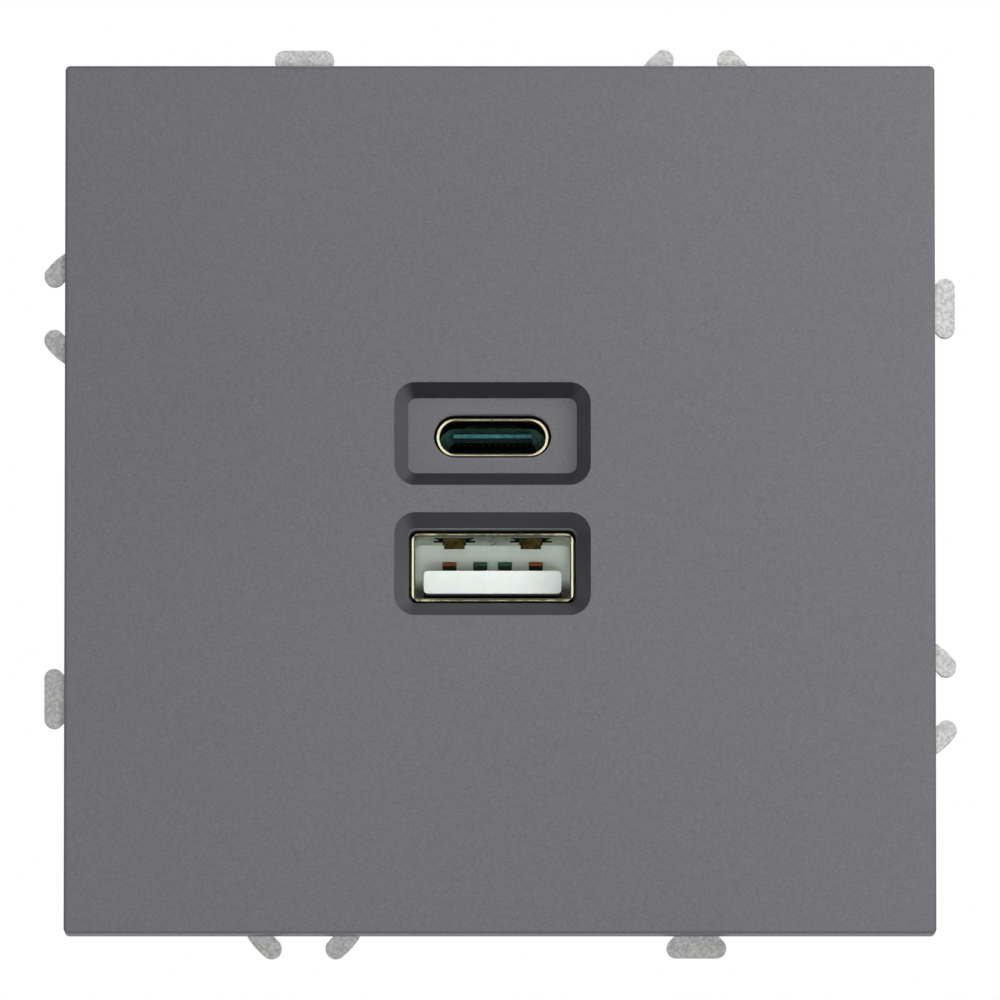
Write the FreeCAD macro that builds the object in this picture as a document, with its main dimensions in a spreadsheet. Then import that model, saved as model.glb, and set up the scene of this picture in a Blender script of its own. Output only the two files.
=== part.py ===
import FreeCAD
import Part

import math
import os
from types import SimpleNamespace

import Sketcher

# A flush-mounted wall socket with one USB-C and one USB-A charging port, in millimetres.
# The origin is the centre of the mounting frame on the wall plane. X points right, Z up, and the front
# faces -Y.
# A place along Y is written as a depth: 0 is the wall plane, a negative depth is in front of the wall.

os.makedirs("parts", exist_ok=True)
doc = FreeCAD.newDocument("UsbWallSocket")

# Driving dimensions

DIMENSIONS = {
    # cover plate
    "cover_side": 70.0,
    "cover_corner_radius": 0.4,
    "cover_edge_round": 0.3,
    "cover_front_depth": 5.5,
    "cover_wall": 2.0,
    "cover_skirt_wall": 1.6,
    "cover_gap": 0.3,
    "cover_rib": 1.0,
    "cover_rib_rise": 1.2,
    "cover_rib_offset": 5.5,
    "cover_rib_start": 8.0,
    "cover_rib_end": 18.6,
    "hook_width": 7.0,
    "hook_thickness": 1.2,
    "hook_barb": 0.35,
    "hook_reach": 1.2,
    "hook_offset_x": 26.0,
    "hook_offset_z": 28.6,
    # sunk bezels round the ports
    "bezel_width": 15.8,
    "bezel_height": 8.3,
    "bezel_radius": 1.7,
    "bezel_slope": 1.12,
    "bezel_inner_radius": 0.68,
    "bezel_depth": 2.0,
    "bezel_floor": 1.4,
    "bezel_boss_wall": 1.2,
    "port_shift": -0.6,
    "port_spacing": 10.5,
    # mounting frame
    "frame_thickness": 1.2,
    "frame_side": 66.4,
    "frame_corner_radius": 2.0,
    "coupling_offset": 15.8,
    "coupling_root": 0.5,
    "head_reach": 36.7,
    "head_width": 4.8,
    "head_round": 0.78,
    "neck_width": 3.3,
    "claw_tip_radius": 0.83,
    "claw_tip_gap": 3.52,
    "claw_reach": 36.77,
    "claw_pocket_width": 5.5,
    "claw_finger_width": 2.25,
    "finger_throat": 1.4,
    "finger_shoulder": 0.6,
    "finger_bend": 6.0,
    "box_screw_spacing": 60.0,
    "box_screw_hole": 4.2,
    "box_slot_width": 3.8,
    "box_slot_length": 10.0,
    "box_slot_shift": 0.6,
    "hole_play": 0.15,
    "hook_slot_clearance": 0.3,
    "ear_thickness": 1.2,
    "ear_length": 6.6,
    "ear_height": 3.2,
    "ear_round": 1.0,
    "ear_foot": 0.2,
    "ear_gap": 0.2,
    # insulating case
    "case_width": 40.0,
    "case_height": 44.0,
    "case_chamfer": 6.0,
    "case_wall": 1.5,
    "case_clearance": 0.2,
    "case_front_depth": 2.0,
    "case_split": 14.0,
    "case_depth": 30.0,
    "case_rear_wall": 1.6,
    "chamfer_share": 0.586,
    "case_rear_round": 1.0,
    "lip_length": 1.5,
    "lip_wall": 0.9,
    "lip_clearance": 0.1,
    "collar_wall": 1.2,
    "collar_length": 3.0,
    "flange_rim": 1.3,
    "flange_corner": 1.5,
    "screw_head_room": 4.0,
    "lug_spacing": 24.0,
    "lug_width": 4.8,
    "lug_reach": 4.6,
    "rivet_offset": 2.4,
    "rivet_radius": 1.0,
    "rivet_head_radius": 1.7,
    "rivet_head": 0.5,
    "post_inset_x": 3.7,
    "post_inset_z": 7.1,
    "post_radius": 2.2,
    "rear_post_rim": 0.3,
    # boards
    "board_thickness": 1.2,
    "board_clearance": 0.25,
    "board_hole_play": 0.1,
    "port_board_depth": 8.8,
    "power_board_setback": 7.5,
    # lower port
    "usb_a_width": 13.04,
    "usb_a_height": 5.52,
    "usb_a_radius": 0.7,
    "usb_a_wall": 0.26,
    "usb_front_depth": 1.8,
    "usb_a_cavity": 8.9,
    "tongue_a_width": 11.1,
    "tongue_a_thickness": 1.84,
    "tongue_a_drop": 1.12,
    "tongue_a_setback": 0.9,
    "tongue_a_radius": 0.35,
    "contact_a_width": 1.0,
    "contact_a_thickness": 0.3,
    "contact_a_inner": 1.0,
    "contact_a_outer": 3.5,
    "contact_window_width": 1.14,
    "contact_window_height": 0.7,
    "contact_window_rise": 0.84,
    "contact_a_groove": 0.25,
    "contact_a_play": 0.05,
    "contact_a_setback": 1.2,
    "contact_a_rise": 1.8,
    "contact_a_bend": 0.6,
    "spring_offset": 3.1,
    "spring_width": 1.9,
    "spring_play": 0.12,
    "spring_start": 2.4,
    "spring_length": 6.0,
    "spring_root": 0.2,
    "spring_bend": 0.8,
    "spring_tip": 0.4,
    "spring_lip": 1.2,
    "spring_dip": 0.45,
    "spring_lift": 0.27,
    "spring_wing": 0.75,
    "spring_wing_start": 1.4,
    "spring_wing_slant": 0.4,
    "spring_wing_end": 3.4,
    "spring_flush": 0.05,
    # upper port
    "usb_c_width": 9.04,
    "usb_c_height": 3.1,
    "usb_c_wall": 0.24,
    "usb_c_cavity": 6.5,
    "usb_c_recess_rim": 0.5,
    "usb_c_recess": 0.6,
    "tongue_c_width": 6.3,
    "tongue_c_thickness": 0.7,
    "tongue_c_setback": 1.1,
    "contact_c_setback": 1.4,
    "contact_c_pitch": 0.5,
    "contact_c_width": 0.25,
    "contact_c_length": 3.2,
    "contact_c_thickness": 0.08,
    "window_clearance": 0.22,
    # terminals
    "terminal_post_gap": 0.1,
    "bar_rise": 7.6,
    "bar_width": 4.2,
    "bar_thickness": 0.8,
    "bar_gap": 0.2,
    "bar_rise_to_board": 2.9,
    "cage_width": 6.4,
    "cage_length": 4.8,
    "cage_wall": 1.0,
    "cage_base": 1.2,
    "cage_opening": 4.6,
    "cage_clearance": 0.3,
    "cage_setback": 0.6,
    "wire_entry_width": 4.2,
    "wire_entry_height": 3.5,
    "terminal_screw_radius": 1.75,
    "terminal_head_radius": 3.0,
    "terminal_head": 2.0,
    "terminal_head_play": 0.2,
    "terminal_head_gap": 0.3,
    "terminal_slot_width": 0.8,
    "terminal_slot_depth": 1.0,
    "terminal_bevel": 0.3,
    "terminal_wall": 1.2,
    "terminal_gap": 0.3,
    "funnel": 0.8,
    "screw_play": 0.06,
    "screw_end_play": 0.1,
    "head_recess": 0.4,
    # fixing claws
    "claw_pivot_offset": 1.6,
    "claw_pivot_depth": 5.0,
    "claw_pin_radius": 0.75,
    "claw_pin_play": 0.05,
    "claw_knuckle_radius": 1.05,
    "claw_width": 10.0,
    "claw_sheet": 1.6,
    "claw_bend": 0.8,
    "claw_screw_offset": 2.7,
    "claw_screw_radius": 1.75,
    "claw_head_radius": 2.6,
    "claw_head": 1.4,
    "claw_screw_length": 14.0,
    "claw_leg": 14.6,
    "claw_tooth": 0.8,
    "claw_tooth_pitch": 1.4,
    "claw_slot_play": 0.2,
    "head_bevel": 0.5,
    "cross_width": 0.7,
    "cross_share": 0.6,
    "cross_depth": 1.0,
    # screws of the case
    "case_screw_radius": 1.1,
    "case_screw_head_radius": 2.1,
    "case_screw_head": 1.3,
    "case_screw_play": 0.2,
    "case_screw_bite": 6.5,
    "case_screw_slot": 0.6,
    # components between the boards; a share is a part of the room that the boards and posts leave
    "component_gap": 0.4,
    "component_spacing": 2.0,
    "tall_headroom": 2.3,
    "low_part_share": 0.64,
    "mains_capacitor_share": 0.179,
    "output_capacitor_share": 0.141,
    "fuse_share": 0.143,
    "choke_share": 0.161,
    "choke_flange": 1.2,
    "transformer_share": 0.477,
    "transformer_margin": 1.7,
    "transformer_inset": 3.25,
    "core_limb": 2.1,
    "coil_cheek": 1.2,
    "bridge_height": 3.2,
    "bridge_thickness": 2.6,
    "chip_width": 5.0,
    "chip_height": 4.0,
    "chip_thickness": 1.5,
    "chip_offset": 5.0,
    "chip_inset": 8.5,
    "port_chip_offset": 9.0,
    "port_chip_level": 4.0,
    "link_count": 6,
    "link_pitch": 2.54,
    "link_side": 0.64,
    "link_inset": 2.25,
}

sheet = doc.addObject("Spreadsheet::Sheet", "Sizes")
for row, (alias, number) in enumerate(DIMENSIONS.items(), start=1):
    sheet.set("A%d" % row, alias.replace("_", " "))
    sheet.set("B%d" % row, repr(number))
    sheet.setAlias("B%d" % row, alias)
doc.recompute()


# A size keeps its number and the sheet formula it comes from, so that sums of sizes stay bound to the sheet

class Size:
    def __init__(self, value, formula):
        self.value = value
        self.formula = formula

    def __add__(self, other):
        return joined(self, "+", other)

    def __radd__(self, other):
        return joined(other, "+", self)

    def __sub__(self, other):
        return joined(self, "-", other)

    def __rsub__(self, other):
        return joined(other, "-", self)

    def __mul__(self, other):
        return joined(self, "*", other)

    def __rmul__(self, other):
        return joined(other, "*", self)

    def __truediv__(self, other):
        return joined(self, "/", other)

    def __neg__(self):
        return joined(-1, "*", self)


OPERATIONS = {
    "+": lambda left, right: left + right,
    "-": lambda left, right: left - right,
    "*": lambda left, right: left * right,
    "/": lambda left, right: left / right,
}


def in_order(one, other):
    return sorted((one, other), key=lambda size: size.value)


def as_size(number):
    if isinstance(number, Size):
        return number
    return Size(float(number), repr(float(number)))


def joined(left, sign, right):
    left = as_size(left)
    right = as_size(right)
    value = OPERATIONS[sign](left.value, right.value)
    return Size(value, "(%s %s %s)" % (left.formula, sign, right.formula))


d = SimpleNamespace(**{alias: Size(number, "Sizes." + alias) for alias, number in DIMENSIONS.items()})


def bind(thing, prop, size):
    if isinstance(size, Size):
        thing.setExpression(prop, size.formula)
    else:
        setattr(thing, prop, size)


# Sketches

def origin_plane(body, role):
    for feature in body.Origin.OriginFeatures:
        if feature.Role == role:
            return feature
    raise ValueError(role)


# A sketch on the XZ plane stands at a depth and is seen from the front; its normal points forward
def new_sketch(body, name, depth=0.0, role="XZ_Plane"):
    sketch = body.newObject("Sketcher::SketchObject", name)
    sketch.AttachmentSupport = [(origin_plane(body, role), "")]
    sketch.MapMode = "FlatFace"
    offset = as_size(depth)
    if role == "XZ_Plane":
        offset = -offset
    sketch.setExpression("AttachmentOffset.Base.z", offset.formula)
    return sketch


def constrain(sketch, fixed, measured):
    first = sketch.ConstraintCount
    constraints = list(fixed)
    formulas = []
    for kind, places, size in measured:
        size = as_size(size)
        formulas.append((first + len(constraints), size.formula))
        constraints.append(Sketcher.Constraint(kind, *places, size.value))
    sketch.addConstraint(constraints)
    for index, formula in formulas:
        sketch.setExpression("Constraints[%d]" % index, formula)


def place_of(geometry, point, x, z):
    return [("DistanceX", (-1, 1, geometry, point), x), ("DistanceY", (-1, 1, geometry, point), z)]


def plane_arc(x, z, radius, start, end):
    circle = Part.Circle(FreeCAD.Vector(x, z, 0), FreeCAD.Vector(0, 0, 1), radius)
    return Part.ArcOfCircle(circle, math.radians(start), math.radians(end))


def add_rounded_rectangle(sketch, x, z, width, height, radius):
    first = sketch.GeometryCount
    x, z, width, height, radius = (as_size(size) for size in (x, z, width, height, radius))
    side = width / 2 - radius
    rise = height / 2 - radius
    corners = [(1, 1, 0), (1, -1, 270), (-1, -1, 180), (-1, 1, 90)]
    lines = []
    arcs = []
    for place, (right, up, start) in enumerate(corners):
        centre_x = (x + right * side).value
        centre_z = (z + up * rise).value
        arcs.append(plane_arc(centre_x, centre_z, radius.value, start, start + 90))
    for place in range(4):
        begin = arcs[place - 1].StartPoint
        end = arcs[place].EndPoint
        lines.append(Part.LineSegment(begin, end))
    sketch.addGeometry(lines + arcs, False)
    fixed = []
    measured = []
    for place, (right, up, start) in enumerate(corners):
        line = first + place
        arc = first + 4 + place
        before = first + 4 + (place - 1) % 4
        fixed.append(Sketcher.Constraint("Tangent", before, 1, line, 1))
        fixed.append(Sketcher.Constraint("Tangent", line, 2, arc, 2))
        measured += place_of(arc, 3, x + right * side, z + up * rise)
        measured.append(("Radius", (arc,), radius))
    constrain(sketch, fixed, measured)


# A slot with full round ends, along the sketch's X or its Z
def add_stadium(sketch, x, z, length, width, upright=False):
    first = sketch.GeometryCount
    x, z, length, width = (as_size(size) for size in (x, z, length, width))
    radius = width / 2
    reach = length / 2 - radius
    turn = 90 if upright else 0
    ends = []
    for sign in (1, -1):
        centre_x = x if upright else x + sign * reach
        centre_z = z + sign * reach if upright else z
        start = turn - 90 if sign > 0 else turn + 90
        ends.append((centre_x, centre_z, start))
    arcs = [plane_arc(cx.value, cz.value, radius.value, start, start + 180) for cx, cz, start in ends]
    lines = [
        Part.LineSegment(arcs[0].EndPoint, arcs[1].StartPoint),
        Part.LineSegment(arcs[1].EndPoint, arcs[0].StartPoint),
    ]
    sketch.addGeometry(arcs + lines, False)
    fixed = [
        Sketcher.Constraint("Tangent", first, 2, first + 2, 1),
        Sketcher.Constraint("Tangent", first + 2, 2, first + 1, 1),
        Sketcher.Constraint("Tangent", first + 1, 2, first + 3, 1),
        Sketcher.Constraint("Tangent", first + 3, 2, first, 1),
    ]
    measured = []
    for place, (centre_x, centre_z, start) in enumerate(ends):
        measured += place_of(first + place, 3, centre_x, centre_z)
        measured.append(("Radius", (first + place,), radius))
    constrain(sketch, fixed, measured)


def add_circle(sketch, x, z, radius):
    x, z, radius = as_size(x), as_size(z), as_size(radius)
    place = FreeCAD.Vector(x.value, z.value, 0)
    circle = sketch.addGeometry(Part.Circle(place, FreeCAD.Vector(0, 0, 1), radius.value), False)
    constrain(sketch, [], place_of(circle, 3, x, z) + [("Radius", (circle,), radius)])


# A closed outline of corners. A corner with a third value is followed by an arc of that radius,
# bulging to the right of the way along the outline, or to the left where the radius is negative
def add_outline(sketch, corners):
    first = sketch.GeometryCount
    points = [(as_size(corner[0]), as_size(corner[1])) for corner in corners]
    shapes = []
    begins = []
    measured = []
    for place, corner in enumerate(corners):
        start = FreeCAD.Vector(points[place][0].value, points[place][1].value, 0)
        after = points[(place + 1) % len(points)]
        end = FreeCAD.Vector(after[0].value, after[1].value, 0)
        if len(corner) == 3:
            radius = as_size(corner[2])
            shape = arc_between(start, end, radius.value)
            begins.append(1 if (shape.StartPoint - start).Length < (shape.EndPoint - start).Length else 2)
            size = radius if radius.value > 0 else -radius
            measured.append(("Radius", (first + place,), size))
        else:
            shape = Part.LineSegment(start, end)
            begins.append(1)
        shapes.append(shape)
        measured += place_of(first + place, begins[place], *points[place])
    sketch.addGeometry(shapes, False)
    fixed = []
    for place in range(len(shapes)):
        after = (place + 1) % len(shapes)
        joint = (first + place, 3 - begins[place], first + after, begins[after])
        fixed.append(Sketcher.Constraint("Coincident", *joint))
    constrain(sketch, fixed, measured)


def add_hexagon(sketch, x, z, radius):
    turns = [math.radians(60 * place) for place in range(6)]
    add_outline(sketch, [(x + radius * math.cos(turn), z + radius * math.sin(turn)) for turn in turns])


# The same outline on the other side, walked backwards so that its arcs keep their bulge
def mirrored(corners):
    flipped = []
    count = len(corners)
    for place in range(count):
        x, z = corners[count - 1 - place][:2]
        arc = corners[(count - 2 - place) % count][2:]
        flipped.append((-x, z) + tuple(arc))
    return flipped


def on_side(corners, sign):
    return corners if sign > 0 else mirrored(corners)


def arc_between(start, end, radius):
    chord = end - start
    middle = (start + end) / 2
    to_right = FreeCAD.Vector(chord.y, -chord.x, 0).normalize()
    side = 1 if radius > 0 else -1
    size = abs(radius)
    inset = math.sqrt(size * size - chord.Length * chord.Length / 4)
    centre = middle - to_right * inset * side
    crown = centre + to_right * size * side
    first_angle = math.degrees(math.atan2(start.y - centre.y, start.x - centre.x))
    last_angle = math.degrees(math.atan2(end.y - centre.y, end.x - centre.x))
    if side < 0:
        first_angle, last_angle = last_angle, first_angle
    if last_angle < first_angle:
        last_angle += 360
    assert (crown - start).Length < 2 * size
    return plane_arc(centre.x, centre.y, size, first_angle, last_angle)


def add_box(sketch, low_x, high_x, low_z, high_z):
    add_outline(sketch, [(low_x, low_z), (high_x, low_z), (high_x, high_z), (low_x, high_z)])


def add_chamfered_box(sketch, width, height, chamfer):
    side = as_size(width) / 2
    top = as_size(height) / 2
    add_outline(sketch, [
        (-side + chamfer, -top), (side - chamfer, -top), (side, -top + chamfer), (side, top - chamfer),
        (side - chamfer, top), (-side + chamfer, top), (-side, top - chamfer), (-side, -top + chamfer),
    ])


# Bodies and their features. A pad on the XZ plane grows forward, or back into the wall with backward=True

CUTS = []


def new_body(label):
    body = doc.addObject("PartDesign::Body", label)
    body.Label = label
    return body


def extruded(body, kind, name, sketch, length, backward):
    feature = body.newObject("PartDesign::" + kind, name)
    feature.Profile = sketch
    bind(feature, "Length", length)
    feature.Reversed = backward
    sketch.Visibility = False
    return feature


def pad(body, name, sketch, length, backward=False):
    return extruded(body, "Pad", name, sketch, length, backward)


# A pocket runs back into the wall, or forward with forward=True
def pocket(body, name, sketch, length, forward=False):
    feature = extruded(body, "Pocket", name, sketch, length, forward)
    CUTS.append(feature)
    return feature


def loft_cut(body, name, first, second):
    feature = body.newObject("PartDesign::SubtractiveLoft", name)
    feature.Profile = first
    feature.Sections = [second]
    CUTS.append(feature)
    return feature


def turned(body, name, sketch, axis):
    feature = body.newObject("PartDesign::Revolution", name)
    feature.Profile = sketch
    feature.ReferenceAxis = axis
    feature.Angle = 360.0
    return feature


def round_edges(body, name, feature, chosen, radius):
    doc.recompute()
    names = ["Edge%d" % place for place, edge in enumerate(feature.Shape.Edges, start=1) if chosen(edge)]
    assert names, name
    fillet = body.newObject("PartDesign::Fillet", name)
    fillet.Base = (feature, names)
    bind(fillet, "Radius", radius)
    return fillet


def flat_at(edge, depth):
    box = edge.BoundBox
    return abs(box.YMin - depth) < 1e-4 and abs(box.YMax - depth) < 1e-4


# Part primitives, for plain turned and sawn pieces and for the tools that cut them

def place_at(thing, x, y, z):
    for letter, size in zip("xyz", (x, y, z)):
        thing.setExpression("Placement.Base." + letter, as_size(size).formula)


def block(name, low_x, high_x, low_y, high_y, low_z, high_z):
    box = doc.addObject("Part::Box", name)
    bind(box, "Length", as_size(high_x) - low_x)
    bind(box, "Width", as_size(high_y) - low_y)
    bind(box, "Height", as_size(high_z) - low_z)
    place_at(box, low_x, low_y, low_z)
    return box


TURNS = {
    "x": FreeCAD.Rotation(FreeCAD.Vector(0, 1, 0), 90),
    "y": FreeCAD.Rotation(FreeCAD.Vector(1, 0, 0), -90),
    "z": FreeCAD.Rotation(),
}


# A cylinder stands on its base point and runs towards +X, +Y or +Z
def rod(name, axis, radius, length, x, y, z):
    cylinder = doc.addObject("Part::Cylinder", name)
    bind(cylinder, "Radius", radius)
    bind(cylinder, "Height", length)
    cylinder.Placement = FreeCAD.Placement(FreeCAD.Vector(), TURNS[axis])
    place_at(cylinder, x, y, z)
    return cylinder


def fused(name, pieces):
    fusion = doc.addObject("Part::MultiFuse", name)
    fusion.Shapes = pieces
    fusion.Label = name
    return fusion


def cut_from(name, base, tools):
    tool = tools[0]
    if len(tools) > 1:
        tool = fused(name + "_tools", tools)
    cut = doc.addObject("Part::Cut", name)
    cut.Base = base
    cut.Tool = tool
    cut.Label = name
    CUTS.append(cut)
    return cut


PIECES = []


def finish(piece):
    PIECES.append(piece)
    return piece


# Places that several pieces share

port_c_z = d.port_spacing / 2
port_a_z = -d.port_spacing / 2
bezel_floor_width = d.bezel_width - 2 * d.bezel_slope
bezel_floor_height = d.bezel_height - 2 * d.bezel_slope
bezel_floor_size = (bezel_floor_width, bezel_floor_height, d.bezel_inner_radius)
cover_face = -d.cover_front_depth
cover_inside = cover_face + d.cover_wall
cover_rear = -d.frame_thickness - d.cover_gap
bezel_bottom = cover_face + d.bezel_depth
bezel_back = bezel_bottom + d.bezel_floor
case_face = -d.case_front_depth
case_inside = case_face + d.case_wall
rear_inside = d.case_depth - d.case_rear_wall
usb_front = -d.usb_front_depth
inner_width = d.case_width - 2 * d.case_wall
inner_height = d.case_height - 2 * d.case_wall
inner_chamfer = d.case_chamfer - d.chamfer_share * d.case_wall
flange_width = d.case_width + 2 * d.flange_rim
flange_height = d.box_screw_spacing - 2 * d.screw_head_room
rivet_x = d.case_width / 2 + d.rivet_offset
rivet_z = d.lug_spacing / 2
post_x = inner_width / 2 - d.post_inset_x
post_z = inner_height / 2 - d.post_inset_z
port_board_back = d.port_board_depth + d.board_thickness
power_board_depth = d.case_depth - d.power_board_setback
power_board_back = power_board_depth + d.board_thickness
board_side = inner_width / 2 - d.lip_clearance - d.lip_wall - d.board_clearance
board_top = inner_height / 2 - d.lip_clearance - d.lip_wall - d.board_clearance
claw_pivot_x = d.case_width / 2 + d.claw_pivot_offset
claw_screw_x = claw_pivot_x + d.claw_screw_offset
claw_screw_hole = d.claw_screw_radius + d.hole_play
half_chamber = d.cage_width / 2 + d.cage_clearance
block_half = post_x - d.post_radius - d.rear_post_rim - d.terminal_post_gap
terminal_x = block_half - d.terminal_wall - half_chamber
CORNERS = [(1, 1), (-1, 1), (-1, -1), (1, -1)]


# Cover plate: a shallow moulded cap with two sunk bezels, ribs and four hooks

def make_cover():
    body = new_body("cover_plate")
    outline = new_sketch(body, "CoverOutline", cover_rear)
    add_rounded_rectangle(outline, 0, 0, d.cover_side, d.cover_side, d.cover_corner_radius)
    cap = pad(body, "CoverCap", outline, cover_rear - cover_face)
    front = cover_face.value
    round_edges(body, "CoverFrontRound", cap, lambda edge: flat_at(edge, front), d.cover_edge_round)
    hollow = new_sketch(body, "CoverHollow", cover_rear)
    hollow_side = d.cover_side - 2 * d.cover_skirt_wall
    add_rounded_rectangle(hollow, 0, 0, hollow_side, hollow_side, d.cover_corner_radius)
    pocket(body, "CoverInside", hollow, cover_rear - cover_inside, forward=True)
    ribs = new_sketch(body, "CoverRibs", cover_inside)
    boss_side = d.bezel_width / 2 + d.bezel_boss_wall
    half_rib = d.cover_rib / 2
    for sign in (1, -1):
        rib_x = sign * (d.case_width / 2 + d.cover_rib_offset)
        add_box(ribs, rib_x - half_rib, rib_x + half_rib, -d.cover_rib_end, -d.cover_rib_start)
        add_box(ribs, rib_x - half_rib, rib_x + half_rib, d.cover_rib_start, d.cover_rib_end)
    pad(body, "CoverRibPad", ribs, d.cover_rib_rise, backward=True)
    boss = new_sketch(body, "BezelBoss", cover_inside)
    boss_height = d.port_spacing + d.bezel_height + 2 * d.bezel_boss_wall
    add_rounded_rectangle(boss, d.port_shift, 0, 2 * boss_side, boss_height, d.bezel_radius)
    pad(body, "BezelBossPad", boss, bezel_back - cover_inside, backward=True)
    hooks = new_sketch(body, "HookRoots", cover_inside)
    for right, up in CORNERS:
        hook_x = right * d.hook_offset_x
        inner = up * (d.hook_offset_z - d.hook_thickness / 2)
        outer = up * (d.hook_offset_z + d.hook_thickness / 2)
        low, high = in_order(inner, outer)
        add_box(hooks, hook_x - d.hook_width / 2, hook_x + d.hook_width / 2, low, high)
    pad(body, "HookPad", hooks, d.hook_reach - cover_inside, backward=True)
    for name, sign in (("Right", 1), ("Left", -1)):
        start = sign * d.hook_offset_x - d.hook_width / 2
        barbs = new_sketch(body, "HookBarbs" + name, start, "YZ_Plane")
        add_barb(barbs, 1)
        add_barb(barbs, -1)
        pad(body, "HookBarbPad" + name, barbs, d.hook_width)
    for letter, level in (("C", port_c_z), ("A", port_a_z)):
        mouth = new_sketch(body, "BezelMouth" + letter, cover_face)
        add_rounded_rectangle(mouth, d.port_shift, level, d.bezel_width, d.bezel_height, d.bezel_radius)
        floor = new_sketch(body, "BezelFloor" + letter, bezel_bottom)
        add_rounded_rectangle(floor, d.port_shift, level, *bezel_floor_size)
        loft_cut(body, "Bezel" + letter, mouth, floor)
    window = new_sketch(body, "WindowA", bezel_bottom)
    add_rounded_rectangle(window, d.port_shift, port_a_z, *bezel_floor_size)
    pocket(body, "WindowCutA", window, d.bezel_floor)
    slot = new_sketch(body, "WindowC", bezel_bottom)
    add_stadium(slot, d.port_shift, port_c_z, d.usb_c_width + 2 * d.window_clearance,
                d.usb_c_height + 2 * d.window_clearance)
    pocket(body, "WindowCutC", slot, d.bezel_floor)
    return finish(body)


# The barb is a small wedge on the outer face of a hook, behind the mounting frame
def add_barb(sketch, up):
    foot = d.hook_offset_z + d.hook_thickness / 2
    root = foot - d.hook_thickness / 2
    catch = d.hook_reach - d.hook_barb * 3
    corners = [
        (catch, root), (d.hook_reach, root), (d.hook_reach, foot), (catch + 0.2, foot + d.hook_barb),
        (catch, foot + d.hook_barb),
    ]
    add_outline(sketch, [(y, up * z) for y, z in corners])


# Mounting frame: stamped steel with a T-shaped head and a pair of claws on each side, turned four times

def make_frame():
    body = new_body("mounting_frame")
    outline = new_sketch(body, "FrameOutline", 0)
    add_rounded_rectangle(outline, 0, 0, d.frame_side, d.frame_side, d.frame_corner_radius)
    pad(body, "FramePlate", outline, d.frame_thickness)
    couplings = new_sketch(body, "Couplings", 0)
    add_coupling_head(couplings, -d.coupling_offset)
    add_coupling_finger(couplings, d.coupling_offset, 1)
    add_coupling_finger(couplings, d.coupling_offset, -1)
    coupling_pad = pad(body, "CouplingPad", couplings, d.frame_thickness)
    pattern = body.newObject("PartDesign::PolarPattern", "CouplingPattern")
    pattern.Originals = [coupling_pad]
    pattern.Axis = (couplings, ["N_Axis"])
    pattern.Angle = 360.0
    pattern.Occurrences = 4
    body.Tip = pattern
    opening = new_sketch(body, "FrameOpening", -d.frame_thickness)
    add_chamfered_box(opening, d.case_width + 2 * d.case_clearance, d.case_height + 2 * d.case_clearance,
                      d.case_chamfer)
    pocket(body, "FrameOpeningCut", opening, d.frame_thickness)
    holes = new_sketch(body, "FrameHoles", -d.frame_thickness)
    half = d.box_screw_spacing / 2
    for sign in (1, -1):
        add_circle(holes, 0, sign * half, d.box_screw_hole / 2)
        slot_centre = sign * (half + d.box_slot_shift)
        add_stadium(holes, slot_centre, 0, d.box_slot_length, d.box_slot_width, upright=True)
    for right, up in CORNERS:
        add_circle(holes, right * rivet_x, up * rivet_z, d.rivet_radius)
        slot_x = right * d.hook_offset_x
        slot_z = up * (d.hook_offset_z + d.hook_barb / 2)
        half_width = d.hook_width / 2 + d.hook_slot_clearance
        half_height = (d.hook_thickness + d.hook_barb) / 2 + d.hook_slot_clearance
        add_box(holes, slot_x - half_width, slot_x + half_width, slot_z - half_height, slot_z + half_height)
    pocket(body, "FrameHoleCuts", holes, d.frame_thickness)
    claw_holes = new_sketch(body, "ClawScrewHoles", -d.frame_thickness)
    for sign in (1, -1):
        add_circle(claw_holes, sign * claw_screw_x, 0, claw_screw_hole)
    pocket(body, "ClawScrewHoleCuts", claw_holes, d.frame_thickness)
    for name, sign in (("Right", 1), ("Left", -1)):
        for level in (1, -1):
            ear_z = level * (d.claw_width / 2 + d.ear_gap)
            low = ear_z if level > 0 else ear_z - d.ear_thickness
            ears = new_sketch(body, "Ear%s%s" % (name, "Up" if level > 0 else "Down"), low, "XY_Plane")
            add_ear(ears, sign)
            pad(body, ears.Name + "Pad", ears, d.ear_thickness)
    return finish(body)


def add_coupling_head(sketch, offset):
    reach = d.head_reach
    half = d.head_width / 2
    neck = d.neck_width / 2
    bend = d.head_round
    slant = bend * math.sqrt(0.5)
    centre_x = half - bend
    centre_z = reach - bend
    shoulder_x = centre_x + slant
    shoulder_z = centre_z - slant
    neck_z = shoulder_z - (shoulder_x - neck)
    root = d.frame_side / 2 - d.coupling_root
    right = [(neck, root), (neck, neck_z), (shoulder_x, shoulder_z), (centre_x, reach)]
    corners = []
    for place, (x, z) in enumerate(right):
        corner = (offset + x, z)
        if place == 2:
            corner += (bend,)
        corners.append(corner)
    for place, (x, z) in enumerate(reversed(right)):
        corner = (offset - x, z)
        if place == 0:
            corner += (bend,)
        corners.append(corner)
    add_outline(sketch, corners)


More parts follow.
